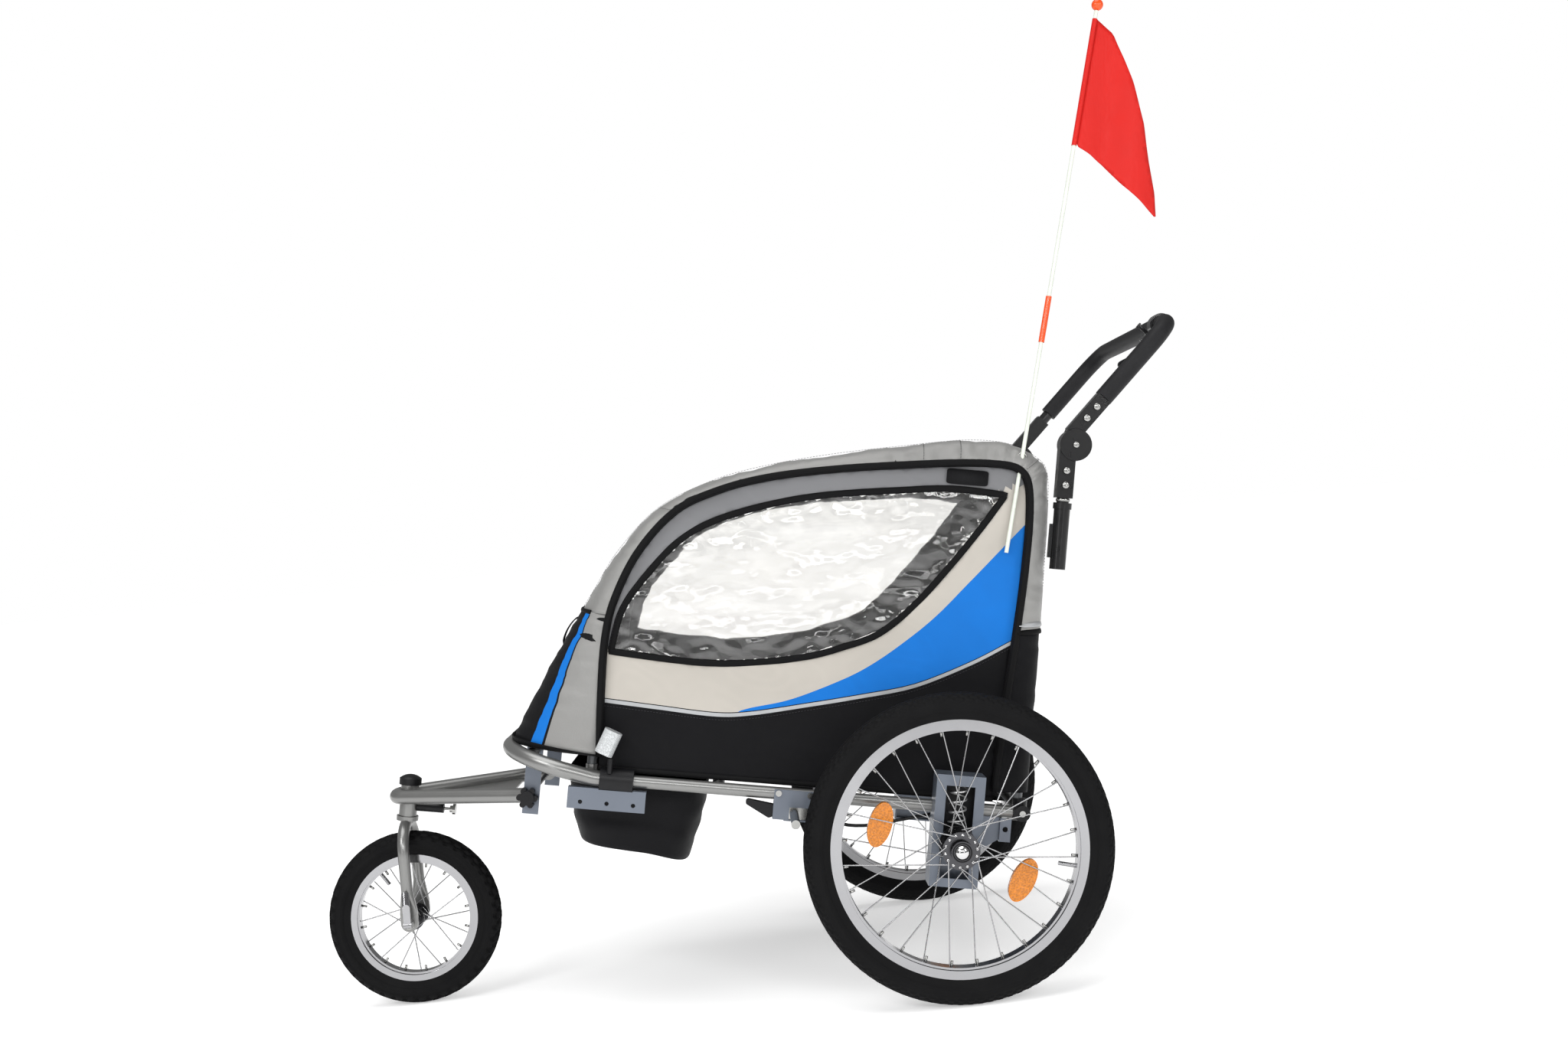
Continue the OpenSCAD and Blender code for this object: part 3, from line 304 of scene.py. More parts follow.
metal("frame_paint", (0.24, 0.24, 0.235), 0.30, 0.7, wear=0.01)
metal("hoop_paint", (0.10, 0.105, 0.11), 0.42, 0.5)
metal("bracket_paint", (0.135, 0.155, 0.19), 0.40, 0.35, coat=0.2)
metal("zinc", (0.36, 0.36, 0.35), 0.22)
metal("black_metal", (0.006, 0.006, 0.0065), 0.33, 0.5, 700, 0.07, 0.25)
metal("chrome", (0.34, 0.34, 0.35), 0.12, 1.0, 500, 0.03)
metal("spring_steel", (0.66, 0.66, 0.66), 0.34, 0.75, 600, 0.04, 0.3)
metal("polished", (0.60, 0.60, 0.60), 0.08, 1.0, 500, 0.02)
metal("spoke", (0.36, 0.36, 0.365), 0.2)
metal("hub_shell", (0.075, 0.075, 0.08), 0.26)
plastic("black_plastic", (0.006, 0.006, 0.007), 0.4, gloss=0.25)
plastic("black_gloss", (0.012, 0.012, 0.013), 0.14, 900, 0.00002)
rubber("tyre", (0.004, 0.004, 0.0043))
foam("foam", (0.008, 0.008, 0.009))
cloth("silver_cloth", (0.27, 0.268, 0.26), 0.40, 0.3, 0.0008, 0.35, 0.0026)
cloth("beige_cloth", (0.47, 0.44, 0.395), 0.72, 0.1, crease=0.001)
cloth("blue_cloth", (0.003, 0.155, 0.56), 0.55, 0.0, crease=0.0012, gloss=0.18)
# A darker grey cloth that is painted shade: the roof's edge shading the upper band of each side
# panel.
cloth("roof_shade_cloth", (0.17, 0.172, 0.18), 0.6, 0.15)
cloth("black_cloth", (0.005, 0.005, 0.006), 0.55, 0.02, crease=0.0014, gloss=0.10)
cloth("lining", (0.006, 0.0063, 0.007), 0.6, 0.02, gloss=0.12)
cloth("reflective", (0.42, 0.43, 0.44), 0.3, 0.0, 0.0008, 0.5)
cloth("binding", (0.003, 0.003, 0.0034), 0.6, 0.02, 0.0012, gloss=0.12)
cloth("thread", (0.03, 0.03, 0.033), 0.6, 0.05, 0.0006, gloss=0.2)
cloth("seat_cloth", (0.03, 0.031, 0.035), 0.8, 0.3, 0.0014)
cloth("webbing", (0.006, 0.006, 0.007), 0.65, 0.05, 0.0018, gloss=0.15)
cloth("flag_cloth", (0.60, 0.010, 0.006), 0.42, 0.03, 0.0007, 0.0, 0.0009, 0.25)
plastic("flag_plastic", (0.75, 0.075, 0.01), 0.22, 600, 0.00002)
plastic("pole", (0.66, 0.70, 0.62), 0.3, 700, 0.00003)
reflector("amber_lens", (0.62, 0.19, 0.0015), 0.05)
reflector("clear_lens", (0.60, 0.62, 0.63), 0.15, 620)
vinyl("vinyl", (0.93, 0.92, 0.90), (0.98, 0.98, 0.97))

CAD_LOOKS = {
    "frame_paint": ["front_bumper", "base_frame", "jogger_arm", "fork"],
    "hoop_paint": ["cabin_frame"],
    "bracket_paint": ["left_suspension_bracket", "right_suspension_bracket", "drawbar_bracket",
                      "arm_brackets", "brake_brackets", "left_axle_slider", "right_axle_slider"],
    "zinc": ["front_skewer", "lock_pin", "frame_bolts", "left_brake_peg", "right_brake_peg"],
    "chrome": ["left_rim", "right_rim", "front_rim", "quick_release_lever"],
    "spoke": ["left_spokes", "right_spokes", "front_spokes"],
    "hub_shell": ["left_hub", "right_hub", "front_hub"],
    "black_plastic": ["corner_joints", "bumper_sleeves", "head_cap", "lock_pin_housing",
                      "star_knobs", "brake_pedal", "brake_cable"],
    "black_metal": ["push_bar_sleeves", "push_bar_legs", "push_bar_frame"],
    "black_gloss": ["hand_lever_clamp", "hand_lever"],
    "foam": ["push_bar_grip"],
    "clear_lens": ["front_reflectors"],
    "amber_lens": ["left_spoke_reflectors", "right_spoke_reflectors"],
    "pole": ["flag_pole"],
    "flag_plastic": ["flag_fittings"],
}
for look, names in CAD_LOOKS.items():
    for name in names:
        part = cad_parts[name]
        part.data.materials.clear()
        part.data.materials.append(MAT[look])


# ---- mesh helpers
def piece(name, points, faces, looks, body="trailer", face_looks=None, chassis=True, smooth=True):
    """A mesh from points (chassis mm, or row metres), riding on a body."""
    points = row(points) if chassis else np.asarray(points, float)
    mesh = bpy.data.meshes.new(name)
    mesh.from_pydata([tuple(p) for p in points], [], [tuple(int(i) for i in f) for f in faces])
    for look in looks:
        mesh.materials.append(MAT[look])
    if face_looks is not None:
        mesh.polygons.foreach_set("material_index", [int(i) for i in face_looks])
    mesh.polygons.foreach_set("use_smooth", [smooth] * len(mesh.polygons))
    mesh.update()
    obj = bpy.data.objects.new(name, mesh)
    bpy.context.scene.collection.objects.link(obj)
    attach(obj, body)
    return obj


def apply_modifiers(obj):
    bpy.context.view_layer.update()
    evaluated = obj.evaluated_get(bpy.context.evaluated_depsgraph_get())
    mesh = bpy.data.meshes.new_from_object(evaluated)
    obj.modifiers.clear()
    obj.data = mesh


def sheet_area(obj):
    return sum(p.area for p in obj.data.polygons)


CLOTH = 0.0006
THIN_CLOTH = 0.0005
BAG_CLOTH = 0.0008


def thicken(obj, thickness):
    """Gives a sheet its thickness, half to each side, and returns its area."""
    area = sheet_area(obj)
    solid = obj.modifiers.new("thickness", "SOLIDIFY")
    solid.thickness = thickness
    solid.offset = 0
    apply_modifiers(obj)
    return area


def turns(count):
    """Evenly spaced angles once round a circle."""
    return np.linspace(0, 2 * pi, count + 1)[:-1]


def circle(middle, radius, count):
    """Points round a circle, as pairs in its own plane."""
    return [(middle[0] + radius * cos(a), middle[1] + radius * sin(a)) for a in turns(count)]


def section(width, height, count=12):
    return [(width / 2 * cos(a), height / 2 * sin(a)) for a in turns(count)]


def tube_faces(rings, count, closed=False):
    """Quads between rings of count points each."""
    faces = []
    for k in range(rings if closed else rings - 1):
        here, there = k * count, (k + 1) % rings * count
        faces += [(here + i, here + (i + 1) % count, there + (i + 1) % count, there + i)
                  for i in range(count)]
    return faces


def grid_faces(rows, cols):
    """Quads over a net of rows by cols points."""
    return [(i * cols + j, (i + 1) * cols + j, (i + 1) * cols + j + 1, i * cols + j + 1)
            for i in range(rows - 1) for j in range(cols - 1)]


def swept(points, ring, up, closed=False):
    """Vertices and faces of a ring carried along points; up is the ring's second axis."""
    p = np.asarray(points, float)
    n, k = len(p), len(ring)
    ahead = np.roll(p, -1, 0) if closed else np.vstack([p[1:], 2 * p[-1] - p[-2]])
    behind = np.roll(p, 1, 0) if closed else np.vstack([2 * p[0] - p[1], p[:-1]])
    tangent = ahead - behind
    tangent /= np.linalg.norm(tangent, axis=1)[:, None]
    side = np.cross(tangent, np.asarray(up, float))
    side /= np.linalg.norm(side, axis=1)[:, None]
    top = np.cross(side, tangent)
    verts = [p[i] + side[i] * u + top[i] * v for i in range(n) for u, v in ring]
    faces = tube_faces(n, k, closed)
    if not closed:
        faces += [tuple(range(k))[::-1], tuple((n - 1) * k + j for j in range(k))]
    return verts, faces


def joined(parts):
    """Several (verts, faces) as one."""
    verts, faces = [], []
    for v, f in parts:
        base = len(verts)
        verts += list(v)
        faces += [tuple(i + base for i in face) for face in f]
    return verts, faces


def in_plane(points, y):
    """Points (x, z) as places in the upright plane at y."""
    p = np.asarray(points, float)
    return np.column_stack([p[:, 0], np.full(len(p), float(y)), p[:, 1]])


def resampled(points, step):
    """The same line with its points about step apart."""
    p = np.asarray(points, float)
    run = np.concatenate([[0], np.cumsum(np.linalg.norm(np.diff(p, axis=0), axis=1))])
    at_runs = np.linspace(0, run[-1], max(2, int(run[-1] / step)) + 1)
    return np.column_stack([np.interp(at_runs, run, p[:, i]) for i in range(p.shape[1])])


def stitches(points, up, length=3.2, pitch=5.0, thick=0.9):
    """Small sewn dashes along a line."""
    p = resampled(points, pitch)
    parts = []
    for a, b in zip(p[:-1], p[1:]):
        reach = (b - a) * (length / pitch) / 2
        mid = (a + b) / 2
        parts.append(swept([mid - reach, mid, mid + reach], section(thick, thick * 0.7, 5), up))
    return joined(parts)


def inside(polygon, x, z):
    """Whether a place lies inside a polygon, by counting the edges to one side of it."""
    p = np.asarray(polygon, float)
    q = np.roll(p, -1, 0)
    cross = (p[:, 1] > z) != (q[:, 1] > z)
    with np.errstate(divide="ignore", invalid="ignore"):
        edge = (q[:, 0] - p[:, 0]) * (z - p[:, 1]) / (q[:, 1] - p[:, 1]) + p[:, 0]
    return bool(np.count_nonzero(cross & (x < edge)) % 2)


def filled(loops, lines, step, keep):
    """Triangles over the area where keep(x, z) holds, with loops and lines as their edges."""
    points, edges = [], []
    for line, closed in [(loop, True) for loop in loops] + [(line, False) for line in lines]:
        base = len(points)
        points += [tuple(q) for q in line]
        count = len(line)
        edges += [(base + i, base + (i + 1) % count) for i in range(count if closed else count - 1)]
    fixed = np.array(points)
    low, high = fixed.min(0), fixed.max(0)
    for i, x in enumerate(np.arange(low[0], high[0], step)):
        for z in np.arange(low[1] + (i % 2) * step / 2, high[1], step):
            if np.min(np.abs(fixed - (x, z)).max(1)) > step * 0.45:
                points.append((x, z))
    result = delaunay_2d_cdt([Vector(q) for q in points], edges, [], 0, 1e-4)
    flat = np.array([tuple(v) for v in result[0]])
    faces = [f for f in result[2] if keep(*flat[list(f)].mean(0))]
    used = sorted({i for f in faces for i in f})
    place = {old: new for new, old in enumerate(used)}
    return flat[used], [tuple(place[i] for i in f) for f in faces]


# ---- side panels and windows
edge_line = curve(SIDE_EDGE, 0, 18, 150)
hem_z = RAIL_Z + 13
panel_loop = np.vstack([edge_line, [(edge_line[-1][0], hem_z)],
                        [(x, hem_z) for x in np.arange(edge_line[-1][0] - 12, -579, -12)],
                        [(edge_line[0][0], hem_z)]])
window_loop = np.vstack([curve(WINDOW_TOP, 0, 9, 90)[:-1], curve(WINDOW_LOW, 0, 9, 90)[:-1]])
stripe_line = curve(STRIPE, 0, 10, 100)
swoosh_line = curve(SWOOSH, 0, 9, 90)
STRIPE_W = 6
SEAM_W = 1.5
SWOOSH_TIP = -372


def stripe_z(x):
    return np.interp(x, stripe_line[:, 0], stripe_line[:, 1])


def roof_shade_z(x):
    """Height above which the side cloth is painted a darker grey, a painted shade under the roof's
    edge; the line runs through the window's ends.
    """
    return np.interp(x, (-590, -576, -300, 30, 90), (262, 262, 420, 565, 590))


def swoosh_z(x):
    return np.interp(x, swoosh_line[:, 0], swoosh_line[:, 1])


def billow(x, z, side):
    """How far the side cloth stands out, with long creases that fan out from the wheel's corner."""
    long_fold = ripple(x / 150, z / 55, 0, 3 + side) * 2.2
    fine_fold = ripple((x + z) / 60, (z - x) / 190, 0, 9 + side) * 1.2
    return long_fold + fine_fold


def panel_line(line):
    """The part of a line that lies on the side panel."""
    return [q for q in line if inside(panel_loop, q[0], q[1])]


def panel_zone(x, z):
    """The cloth at a place: 0 beige, 1 blue, 2 black, 3 reflective, 4 grey painted shade under the
    roof's edge.
    """
    stripe = stripe_z(x)
    if z < stripe - STRIPE_W or stripe < z < stripe + SEAM_W:
        return 2
    if z <= stripe:
        return 3
    # Above this line the side cloth is painted darker grey, as the roof's shade.
    if z > roof_shade_z(x):
        return 4
    return 1 if z < swoosh_z(x) and x > SWOOSH_TIP else 0


def side_panel(name, side):
    """A side's cloth, its colours met at the seams, with its lining."""
    lines = [panel_line(stripe_line + (0, d)) for d in (SEAM_W, 0, -STRIPE_W, -STRIPE_W - SEAM_W)]
    lines.append([q for q in panel_line(swoosh_line) if q[1] > stripe_z(q[0]) + 3])
    flat, faces = filled([panel_loop, window_loop], lines, 11,
                         lambda x, z: inside(panel_loop, x, z) and not inside(window_loop, x, z))
    y = [side * (PANEL_Y + 0.6 + billow(x, z, side)) for x, z in flat]
    points = np.column_stack([flat[:, 0], y, flat[:, 1]])
    zones = [panel_zone(*flat[list(f)].mean(0)) for f in faces]
    looks = ["beige_cloth", "blue_cloth", "black_cloth", "reflective", "roof_shade_cloth"]
    faces = faces if side > 0 else [f[::-1] for f in faces]
    obj = piece(name, points, faces, looks, face_looks=zones)
    area = thicken(obj, CLOTH)
    back = piece(name + "_lining", points - (0, side * 2.5, 0), faces, ["lining"])
    return obj


def window(name, side):
    """Clear vinyl, slack enough to ripple along its edge."""
    flat, faces = filled([window_loop], [], 6, lambda x, z: inside(window_loop, x, z))
    border = np.asarray(window_loop)
    edge_band, pucker_depth, slack_depth = 60, 4.5, 5
    depth = []
    for x, z in flat:
        reach = min(1.0, np.min(np.hypot(border[:, 0] - x, border[:, 1] - z)) / edge_band)
        pucker = (1 - reach) * ripple(x / 24, z / 15, 0, 5 + side) * pucker_depth
        slack = reach * ripple(x / 110, z / 48, 0, 7 + side) * slack_depth
        depth.append(pucker * min(1, reach * 8) + slack)
    points = np.column_stack([flat[:, 0], side * (PANEL_Y - 0.2 + np.array(depth)), flat[:, 1]])
    faces = faces if side > 0 else [f[::-1] for f in faces]
    obj = piece(name, points, faces, ["vinyl"])
    area = thicken(obj, THIN_CLOTH)
    return obj


def side_trims(name, side):
    """Piping round the side, binding round the window and the panel's hem, and their seams."""
    across = (0, side, 0)
    binding_y = side * (PANEL_Y + 1.5)
    seam_y = side * (PANEL_Y + 3)
    piping = swept(in_plane(edge_line, side * (COVER_Y - 1)), section(11, 8), across)
    lip = swept(in_plane(edge_line[2:-2], side * (PANEL_Y + 5)), section(14, 9), across)
    frame_band = swept(in_plane(window_loop, binding_y), section(11, 4.2), across, True)
    hem = np.array([(x, hem_z + 4) for x in np.arange(60, -582, -8)])
    band = swept(in_plane(hem, binding_y), section(9, 5), across)
    piece(name + "_binding", *joined([piping, lip, frame_band, band]), ["binding"])
    centre = window_loop.mean(0)
    out = centre + (window_loop - centre) * 1.014
    seams = [stitches(in_plane(line, seam_y), across)
             for line in (np.vstack([out, out[:1]]), panel_line(stripe_line + (0, -STRIPE_W - 5)))]
    piece(name + "_stitching", *joined(seams), ["thread"])


panels = [side_panel(label + "_side_panel", side) for label, side in SIDES]
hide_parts("side_panels")
panes = [window(label + "_window", side) for label, side in SIDES]
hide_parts("windows")
for label, side in SIDES:
    side_trims(label + "_side", side)


# ---- cover over nose, roof and back
# Along the cover, t counts the points of SIDE_EDGE. Across it, s runs from -1 to 1 over the top
# and on to -2 and 2 at the piping. NOSE_LINES are the nose's seams, as heights above the piping.
LAST_T = len(SIDE_EDGE) - 1
CABIN_MIDDLE = (-250, 0, 250)
NOSE_LINES = (0.60, 0.63, 0.76, 0.78)


def cover_point(t, s, inset):
    """A point of the cover: t along it, s across it, and how far in from the outer face."""
    edge, crown = at(SIDE_EDGE, t), at(CROWN, t)
    ahead = at(CROWN, min(t + 0.05, LAST_T)) - at(CROWN, max(t - 0.05, 0))
    normal = np.array([ahead[1], -ahead[0]]) / np.linalg.norm(ahead)
    reach = at([(w,) for w in SHOULDER], t)[0]
    flat = COVER_Y - reach
    angle = radians(90 * max(0.0, abs(s) - 1))
    y = flat * abs(s) if abs(s) <= 1 else flat + (reach - inset) * sin(angle)
    q = edge + (crown + normal * inset - edge) * cos(angle)
    return q[0], math.copysign(y, s), q[1]


def cover_wrinkle(t, s, seed):
    """Depth of creases: short pleats near the piping, long soft folds over the top."""
    pleat_depth, fold_depth, sag_depth = 4.2, 3.0, 5.0
    rim = max(0.0, abs(s) - 1)
    pleat = ripple(t * 7.5, s * 1.6, 0, seed) * pleat_depth * (0.35 + rim)
    fold = ripple(t * 1.7, s * 1.3, 0, seed + 4) * fold_depth
    sag = sag_depth * (1 - min(1, abs(s))) ** 0.5 * abs(sin(pi * t / 4))
    return 1.2 + sag + pleat + fold if abs(s) < 1.98 else 1.0


def cover_sheet(name, start, end, rows, looks, seed, zone=lambda s: 0, inset=0.0):
    """The cover's cloth from start to end, in the look that zone gives across it."""
    steps = sorted({round(a, 4) for a in np.concatenate([
        np.linspace(-1, 1, 33), 1 + np.linspace(0, 1, 15), -1 - np.linspace(0, 1, 15),
        [side * (1 + math.degrees(math.acos(c)) / 90) for side in (-1, 1) for c in NOSE_LINES]])})
    points = [cover_point(t, s, inset + max(0.2, cover_wrinkle(t, s, seed)))
              for t in np.linspace(start, end, rows + 1) for s in steps]
    zones = [zone((a + b) / 2) for a, b in zip(steps, steps[1:])] * rows
    obj = piece(name, points, grid_faces(rows + 1, len(steps)), looks, face_looks=zones)
    area = thicken(obj, CLOTH)
    return obj


def nose_zone(s):
    """The nose's cloth at s: 0 silver, 1 black, 2 blue."""
    c = 1.0 if abs(s) <= 1 else cos(radians(90 * (abs(s) - 1)))
    if c < NOSE_LINES[0]:
        return 0
    return 2 if NOSE_LINES[1] < c < NOSE_LINES[2] else 1


roof = cover_sheet("roof_cover_fabric", FRONT_END, REAR_START, 190, ["silver_cloth"], 2)
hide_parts("roof_cover")
nose = cover_sheet("nose_fabric", 0, FRONT_END, 40, ["silver_cloth", "black_cloth", "blue_cloth"], 6,
                   nose_zone)
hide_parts("front_cover")
back = cover_sheet("rear_fabric", REAR_START, LAST_T, 30, ["black_cloth"], 11)
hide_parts("rear_cover")
cover_sheet("cover_lining", 0.2, 17.9, 60, ["lining"], 2, inset=3.5)


def cover_line(t0, t1, s0, s1, count, lift):
    """A line over the cover, lift above its outer face."""
    return [cover_point(t0 + (t1 - t0) * k / count, s0 + (s1 - s0) * k / count, -lift)
            for k in range(count + 1)]


def at_up(line):
    """The outward direction along a line across the cover."""
    return (np.array(line[len(line) // 2]) - CABIN_MIDDLE) * (1, 0, 1)


def cover_seams():
    """Bindings and seams that cross the cover from side to side."""
    parts = []
    for t, reach, width, lift in ((REAR_START, 2, 9, 0.4), (0.02, 2, 12, 0.2),
                                  (FRONT_END, 1.58, 7, 0.3)):
        line = cover_line(t, t, -reach, reach, 80, lift)
        parts.append(swept(line, section(width, 3.2, 10), at_up(line)))
    piece("cover_binding", *joined(parts), ["binding"])
    rows = [cover_line(t, t, -1.98, 1.98, 120, 0.3) for t in (5.0, 9.3, 9.9, 12.1)]
    for s in (-1.0, 1.0):
        rows.append(cover_line(FRONT_END, REAR_START, s, s, 200, 0.1))
    piece("cover_stitching", *joined([stitches(line, (0.01, 0.02, 1)) for line in rows]), ["thread"])
    band_t = REAR_START - 0.12
    band = cover_line(band_t, band_t, -1.99, 1.99, 80, 0.6)
    piece("rear_reflective_band", *swept(band, section(8, 1.6, 8), at_up(band)), ["reflective"])


cover_seams()


# ---- tyres, nipples and springs
# Rows of blocks are (from, to, shift): degrees from the tread's middle, and a share of a pitch.
BEAD_DEPTH = 0.0012
PITCH_STEPS = 8
BLOCK = (0.13, 0.87)
ROAD_ROWS = [(0, 11, 0), (15, 27, 0.5), (31, 43, 0.0), (47, 56, 0.5)]
KNOB_ROWS = [(0, 13, 0), (20, 36, 0.5), (44, 62, 0.0)]


def tyre(name, node, rim, body, pitches, depth, rows):
    """A tyre with moulded tread blocks, plain side walls and beads that sit in the rim."""
    centre, (_, half, outer) = middle_and_half(node)
    _, seat_y, seat_r = middle_and_half(rim)[1] - BEAD_DEPTH
    steps, across = pitches * PITCH_STEPS, np.radians(np.linspace(-112, 112, 61))
    points = []
    for i in range(steps):
        wheel_angle = 2 * pi * i / steps
        profile = []
        for a in across:
            reach = half - tread_drop(i / PITCH_STEPS, math.degrees(a), depth, rows)
            tuck = 1 - 0.5 * max(0.0, abs(a) - pi / 2)
            profile.append((reach * sin(a) * tuck, outer - half + reach * cos(a)))
        for y, r in [(-seat_y, seat_r)] + profile + [(seat_y, seat_r)]:
            points.append((centre[0] + r * cos(wheel_angle), centre[1] + y,
                           centre[2] + r * sin(wheel_angle)))
    k = len(across) + 2
    faces = [(i * k + j, ((i + 1) % steps) * k + j, ((i + 1) % steps) * k + j + 1, i * k + j + 1)
             for i in range(steps) for j in range(k - 1)]
    obj = piece(name, points, faces, ["tyre"], body, chassis=False)
    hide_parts(node)


def tread_drop(turn, angle, depth, rows):
    """How far the surface lies below the tread's top, at a place along and across the tyre."""
    size = abs(angle)
    if size > rows[-1][1]:
        ring = 0.0004 if int(size) % 14 < 3 and size > 70 else 0.0
        return depth * min(1.0, (size - rows[-1][1]) / 4) * 0.85 - ring
    for start, end, shift in rows:
        if start <= size <= end:
            phase = (turn + shift + (0.5 if angle < 0 else 0)) % 1
            return 0.0 if BLOCK[0] < phase < BLOCK[1] else depth
    return depth


for label, _ in SIDES:
    tyre(label + "_tyre_tread", label + "_tyre", label + "_rim", label + "_wheel", 96, 0.0018,
         ROAD_ROWS)
tyre("front_tyre_tread", "front_tyre", "front_rim", "front_wheel", 44, 0.0034, KNOB_ROWS)


def rim_nipples(label, count, rim_depth):
    """Spoke nipples standing out of a rim's inner face."""
    centre, (_, _, outer) = middle_and_half(label + "_rim")
    ring = section(0.0042, 0.0042, 8)
    parts = []
    for i in range(count):
        a = 2 * pi * (i + 0.25) / count
        out = np.array([cos(a), 0, sin(a)])
        lean = np.array([0, 0.0012 if i % 2 else -0.0012, 0])
        start = centre + out * (outer - rim_depth + 0.0005) + lean
        parts.append(swept([start, start - out * 0.004, start - out * 0.009 + lean * 0.6], ring,
                           (0, 1, 0)))
    piece(label + "_nipples", *joined(parts), ["zinc"], label + "_wheel", chassis=False)


for label, count, rim_depth in (("left", 28, 0.0177), ("right", 28, 0.0177), ("front", 16, 0.0148)):
    rim_nipples(label, count, rim_depth)


SPRING_Y = 301.3
COIL_STEPS = 40


def spring(label, side):
    """A smooth coil in its channel, its ends ground flat."""
    radius, wire, coils, low, high = 13.5, 3.0, 6.5, 10.3, 104.7
    count = int(coils * COIL_STEPS)
    centre_y = side * SPRING_Y
    path = []
    for i in range(count + 1):
        f = i / count
        ease = 0.5 * sin(pi * (f - 0.5)) + 0.5
        rise = 0.75 * f + 0.25 * ease
        a = 2 * pi * coils * f
        path.append((radius * cos(a), centre_y + radius * sin(a),
                     low + wire / 2 + (high - low - wire) * rise))
    obj = piece(label + "_coil", *swept(path, section(wire, wire), (0, 0, 1)), ["spring_steel"])
    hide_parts(label + "_spring")
    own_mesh(obj)


for label, side in SIDES:
    spring(label, side)


# ---- seats, harness and footwell
def superellipse(a, power):
    c, s = cos(a), sin(a)
    return (math.copysign(abs(c) ** (2 / power), c), math.copysign(abs(s) ** (2 / power), s))


def puffed(obj, pressure, cap):
    """Blows a cushion up with Cloth, lets no point move further than cap, and keeps the result."""
    remesh = obj.modifiers.new("remesh", "REMESH")
    remesh.mode = "VOXEL"
    remesh.voxel_size = 0.007
    apply_modifiers(obj)
    before = np.array([v.co for v in obj.data.vertices])
    simulation = obj.modifiers.new("cloth", "CLOTH")
    simulation.settings.use_pressure = True
    simulation.settings.uniform_pressure_force = pressure
    simulation.settings.effector_weights.gravity = 0
    simulation.settings.quality = 4
    simulation.point_cache.frame_end = 16
    for step in range(1, 15):
        bpy.context.scene.frame_set(step)
    apply_modifiers(obj)
    after = np.array([v.co for v in obj.data.vertices])
    move = after - before
    size = np.linalg.norm(move, axis=1)[:, None]
    after = before + move * np.minimum(1, cap / np.maximum(size, 1e-9))
    obj.data.vertices.foreach_set("co", after.ravel())
    bpy.context.scene.frame_set(1)


def cushion_form(length, width, thick, channels):
    """A crowned closed form with channels sewn across it, lying flat."""
    top, bottom, faces = [], [], []
    nx, ny = 46, 58
    for i in range(nx + 1):
        for j in range(ny + 1):
            u, v = 2 * i / nx - 1, 2 * j / ny - 1
            rim = max(0.0, 1 - abs(u) ** 6) ** 0.5 * max(0.0, 1 - abs(v) ** 8) ** 0.5
            channel = (u + 1) / 2 * channels
            seam = min(abs(channel - round(channel)) * 5, 1.0)
            full = thick / 2 * rim * (0.72 + 0.28 * seam ** 0.5)
            pull = 1 - 0.02 * (1 - abs(v))
            x, y = length / 2 * (1 + u * pull), width / 2 * v * (1 - 0.015 * (1 - u * u))
            top.append((x, y, full + 0.2))
            bottom.append((x, y, -full - 0.2))
    half = len(top)
    for a, b, c, d in grid_faces(nx + 1, ny + 1):
        faces += [(a, b, c, d), (half + a, half + d, half + c, half + b)]
    rim_path = [i * (ny + 1) for i in range(nx + 1)] + [nx * (ny + 1) + j for j in range(1, ny + 1)]
    rim_path += [i * (ny + 1) + ny for i in range(nx - 1, -1, -1)] + list(range(ny - 1, 0, -1))
    faces += [(a, b, half + b, half + a) for a, b in zip(rim_path, rim_path[1:] + rim_path[:1])]
    return np.array(top + bottom), faces


def cushion(name, node, origin, tilt, length, thick, channels):
    """A padded sling, tilted about its front edge at origin."""
    points, faces = cushion_form(length, SEAT_W, thick, channels)
    c, s = cos(tilt), sin(tilt)
    placed = np.column_stack([origin[0] + c * points[:, 0] - s * points[:, 2], points[:, 1],
                              origin[1] + s * points[:, 0] + c * points[:, 2]])
    obj = piece(name, placed, faces, ["seat_cloth"])
    puffed(obj, 2.0, 0.005)
    obj.data.materials.clear()
    obj.data.materials.append(MAT["seat_cloth"])
    obj.data.polygons.foreach_set("use_smooth", [True] * len(obj.data.polygons))
    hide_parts(node)


SEAT_W = 2 * INNER_Y - 66
SEAT_TILT, BACK_TILT = radians(3), radians(75)
BACK_FOOT = (-45, 134)
cushion("seat_cushion", "seat_base", (-388, 105), SEAT_TILT, 320, 22, 4)
cushion("back_cushion", "seat_back", BACK_FOOT, BACK_TILT, 396, 20, 5)


def on_back(u, lift):
    """A place (x, z) up the seat back and out from it."""
    c, s = cos(BACK_TILT), sin(BACK_TILT)
    return BACK_FOOT[0] + c * u - s * lift, BACK_FOOT[1] + s * u + c * lift


def harness():
    """Shoulder and lap webbing for two small children, with a buckle for each."""
    ring = [(-15, -1.1), (15, -1.1), (15, 1.1), (-15, 1.1)]
    parts, buckles = [], []
    for centre in (-112, 112):
        for y in (centre - 42, centre + 42):
            path = [on_back(u, 17 + 5 * sin(pi * (u - 60) / 300))
                    for u in np.linspace(350, 90, 16)]
            parts.append(swept(in_plane(path, y), ring, (-1, 0, 0.3)))
        for side in (-1, 1):
            lap = [(-78 - 34 * sin(f * pi / 2), centre + side * 85 * (1 - f), 146 + 6 * f)
                   for f in np.linspace(0, 0.84, 10)]
            parts.append(swept(lap, section(3, 28, 8), (0, 0, 1)))
        buckle = [(-116, centre + d, 152) for d in np.linspace(-19, 19, 7)]
        buckles.append(swept(buckle, section(12, 34, 12), (0, 0, 1)))
    webbing = piece("harness_webbing", *joined(parts), ["webbing"])
    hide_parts("harness")
    piece("harness_buckles", *joined(buckles), ["black_plastic"])


harness()


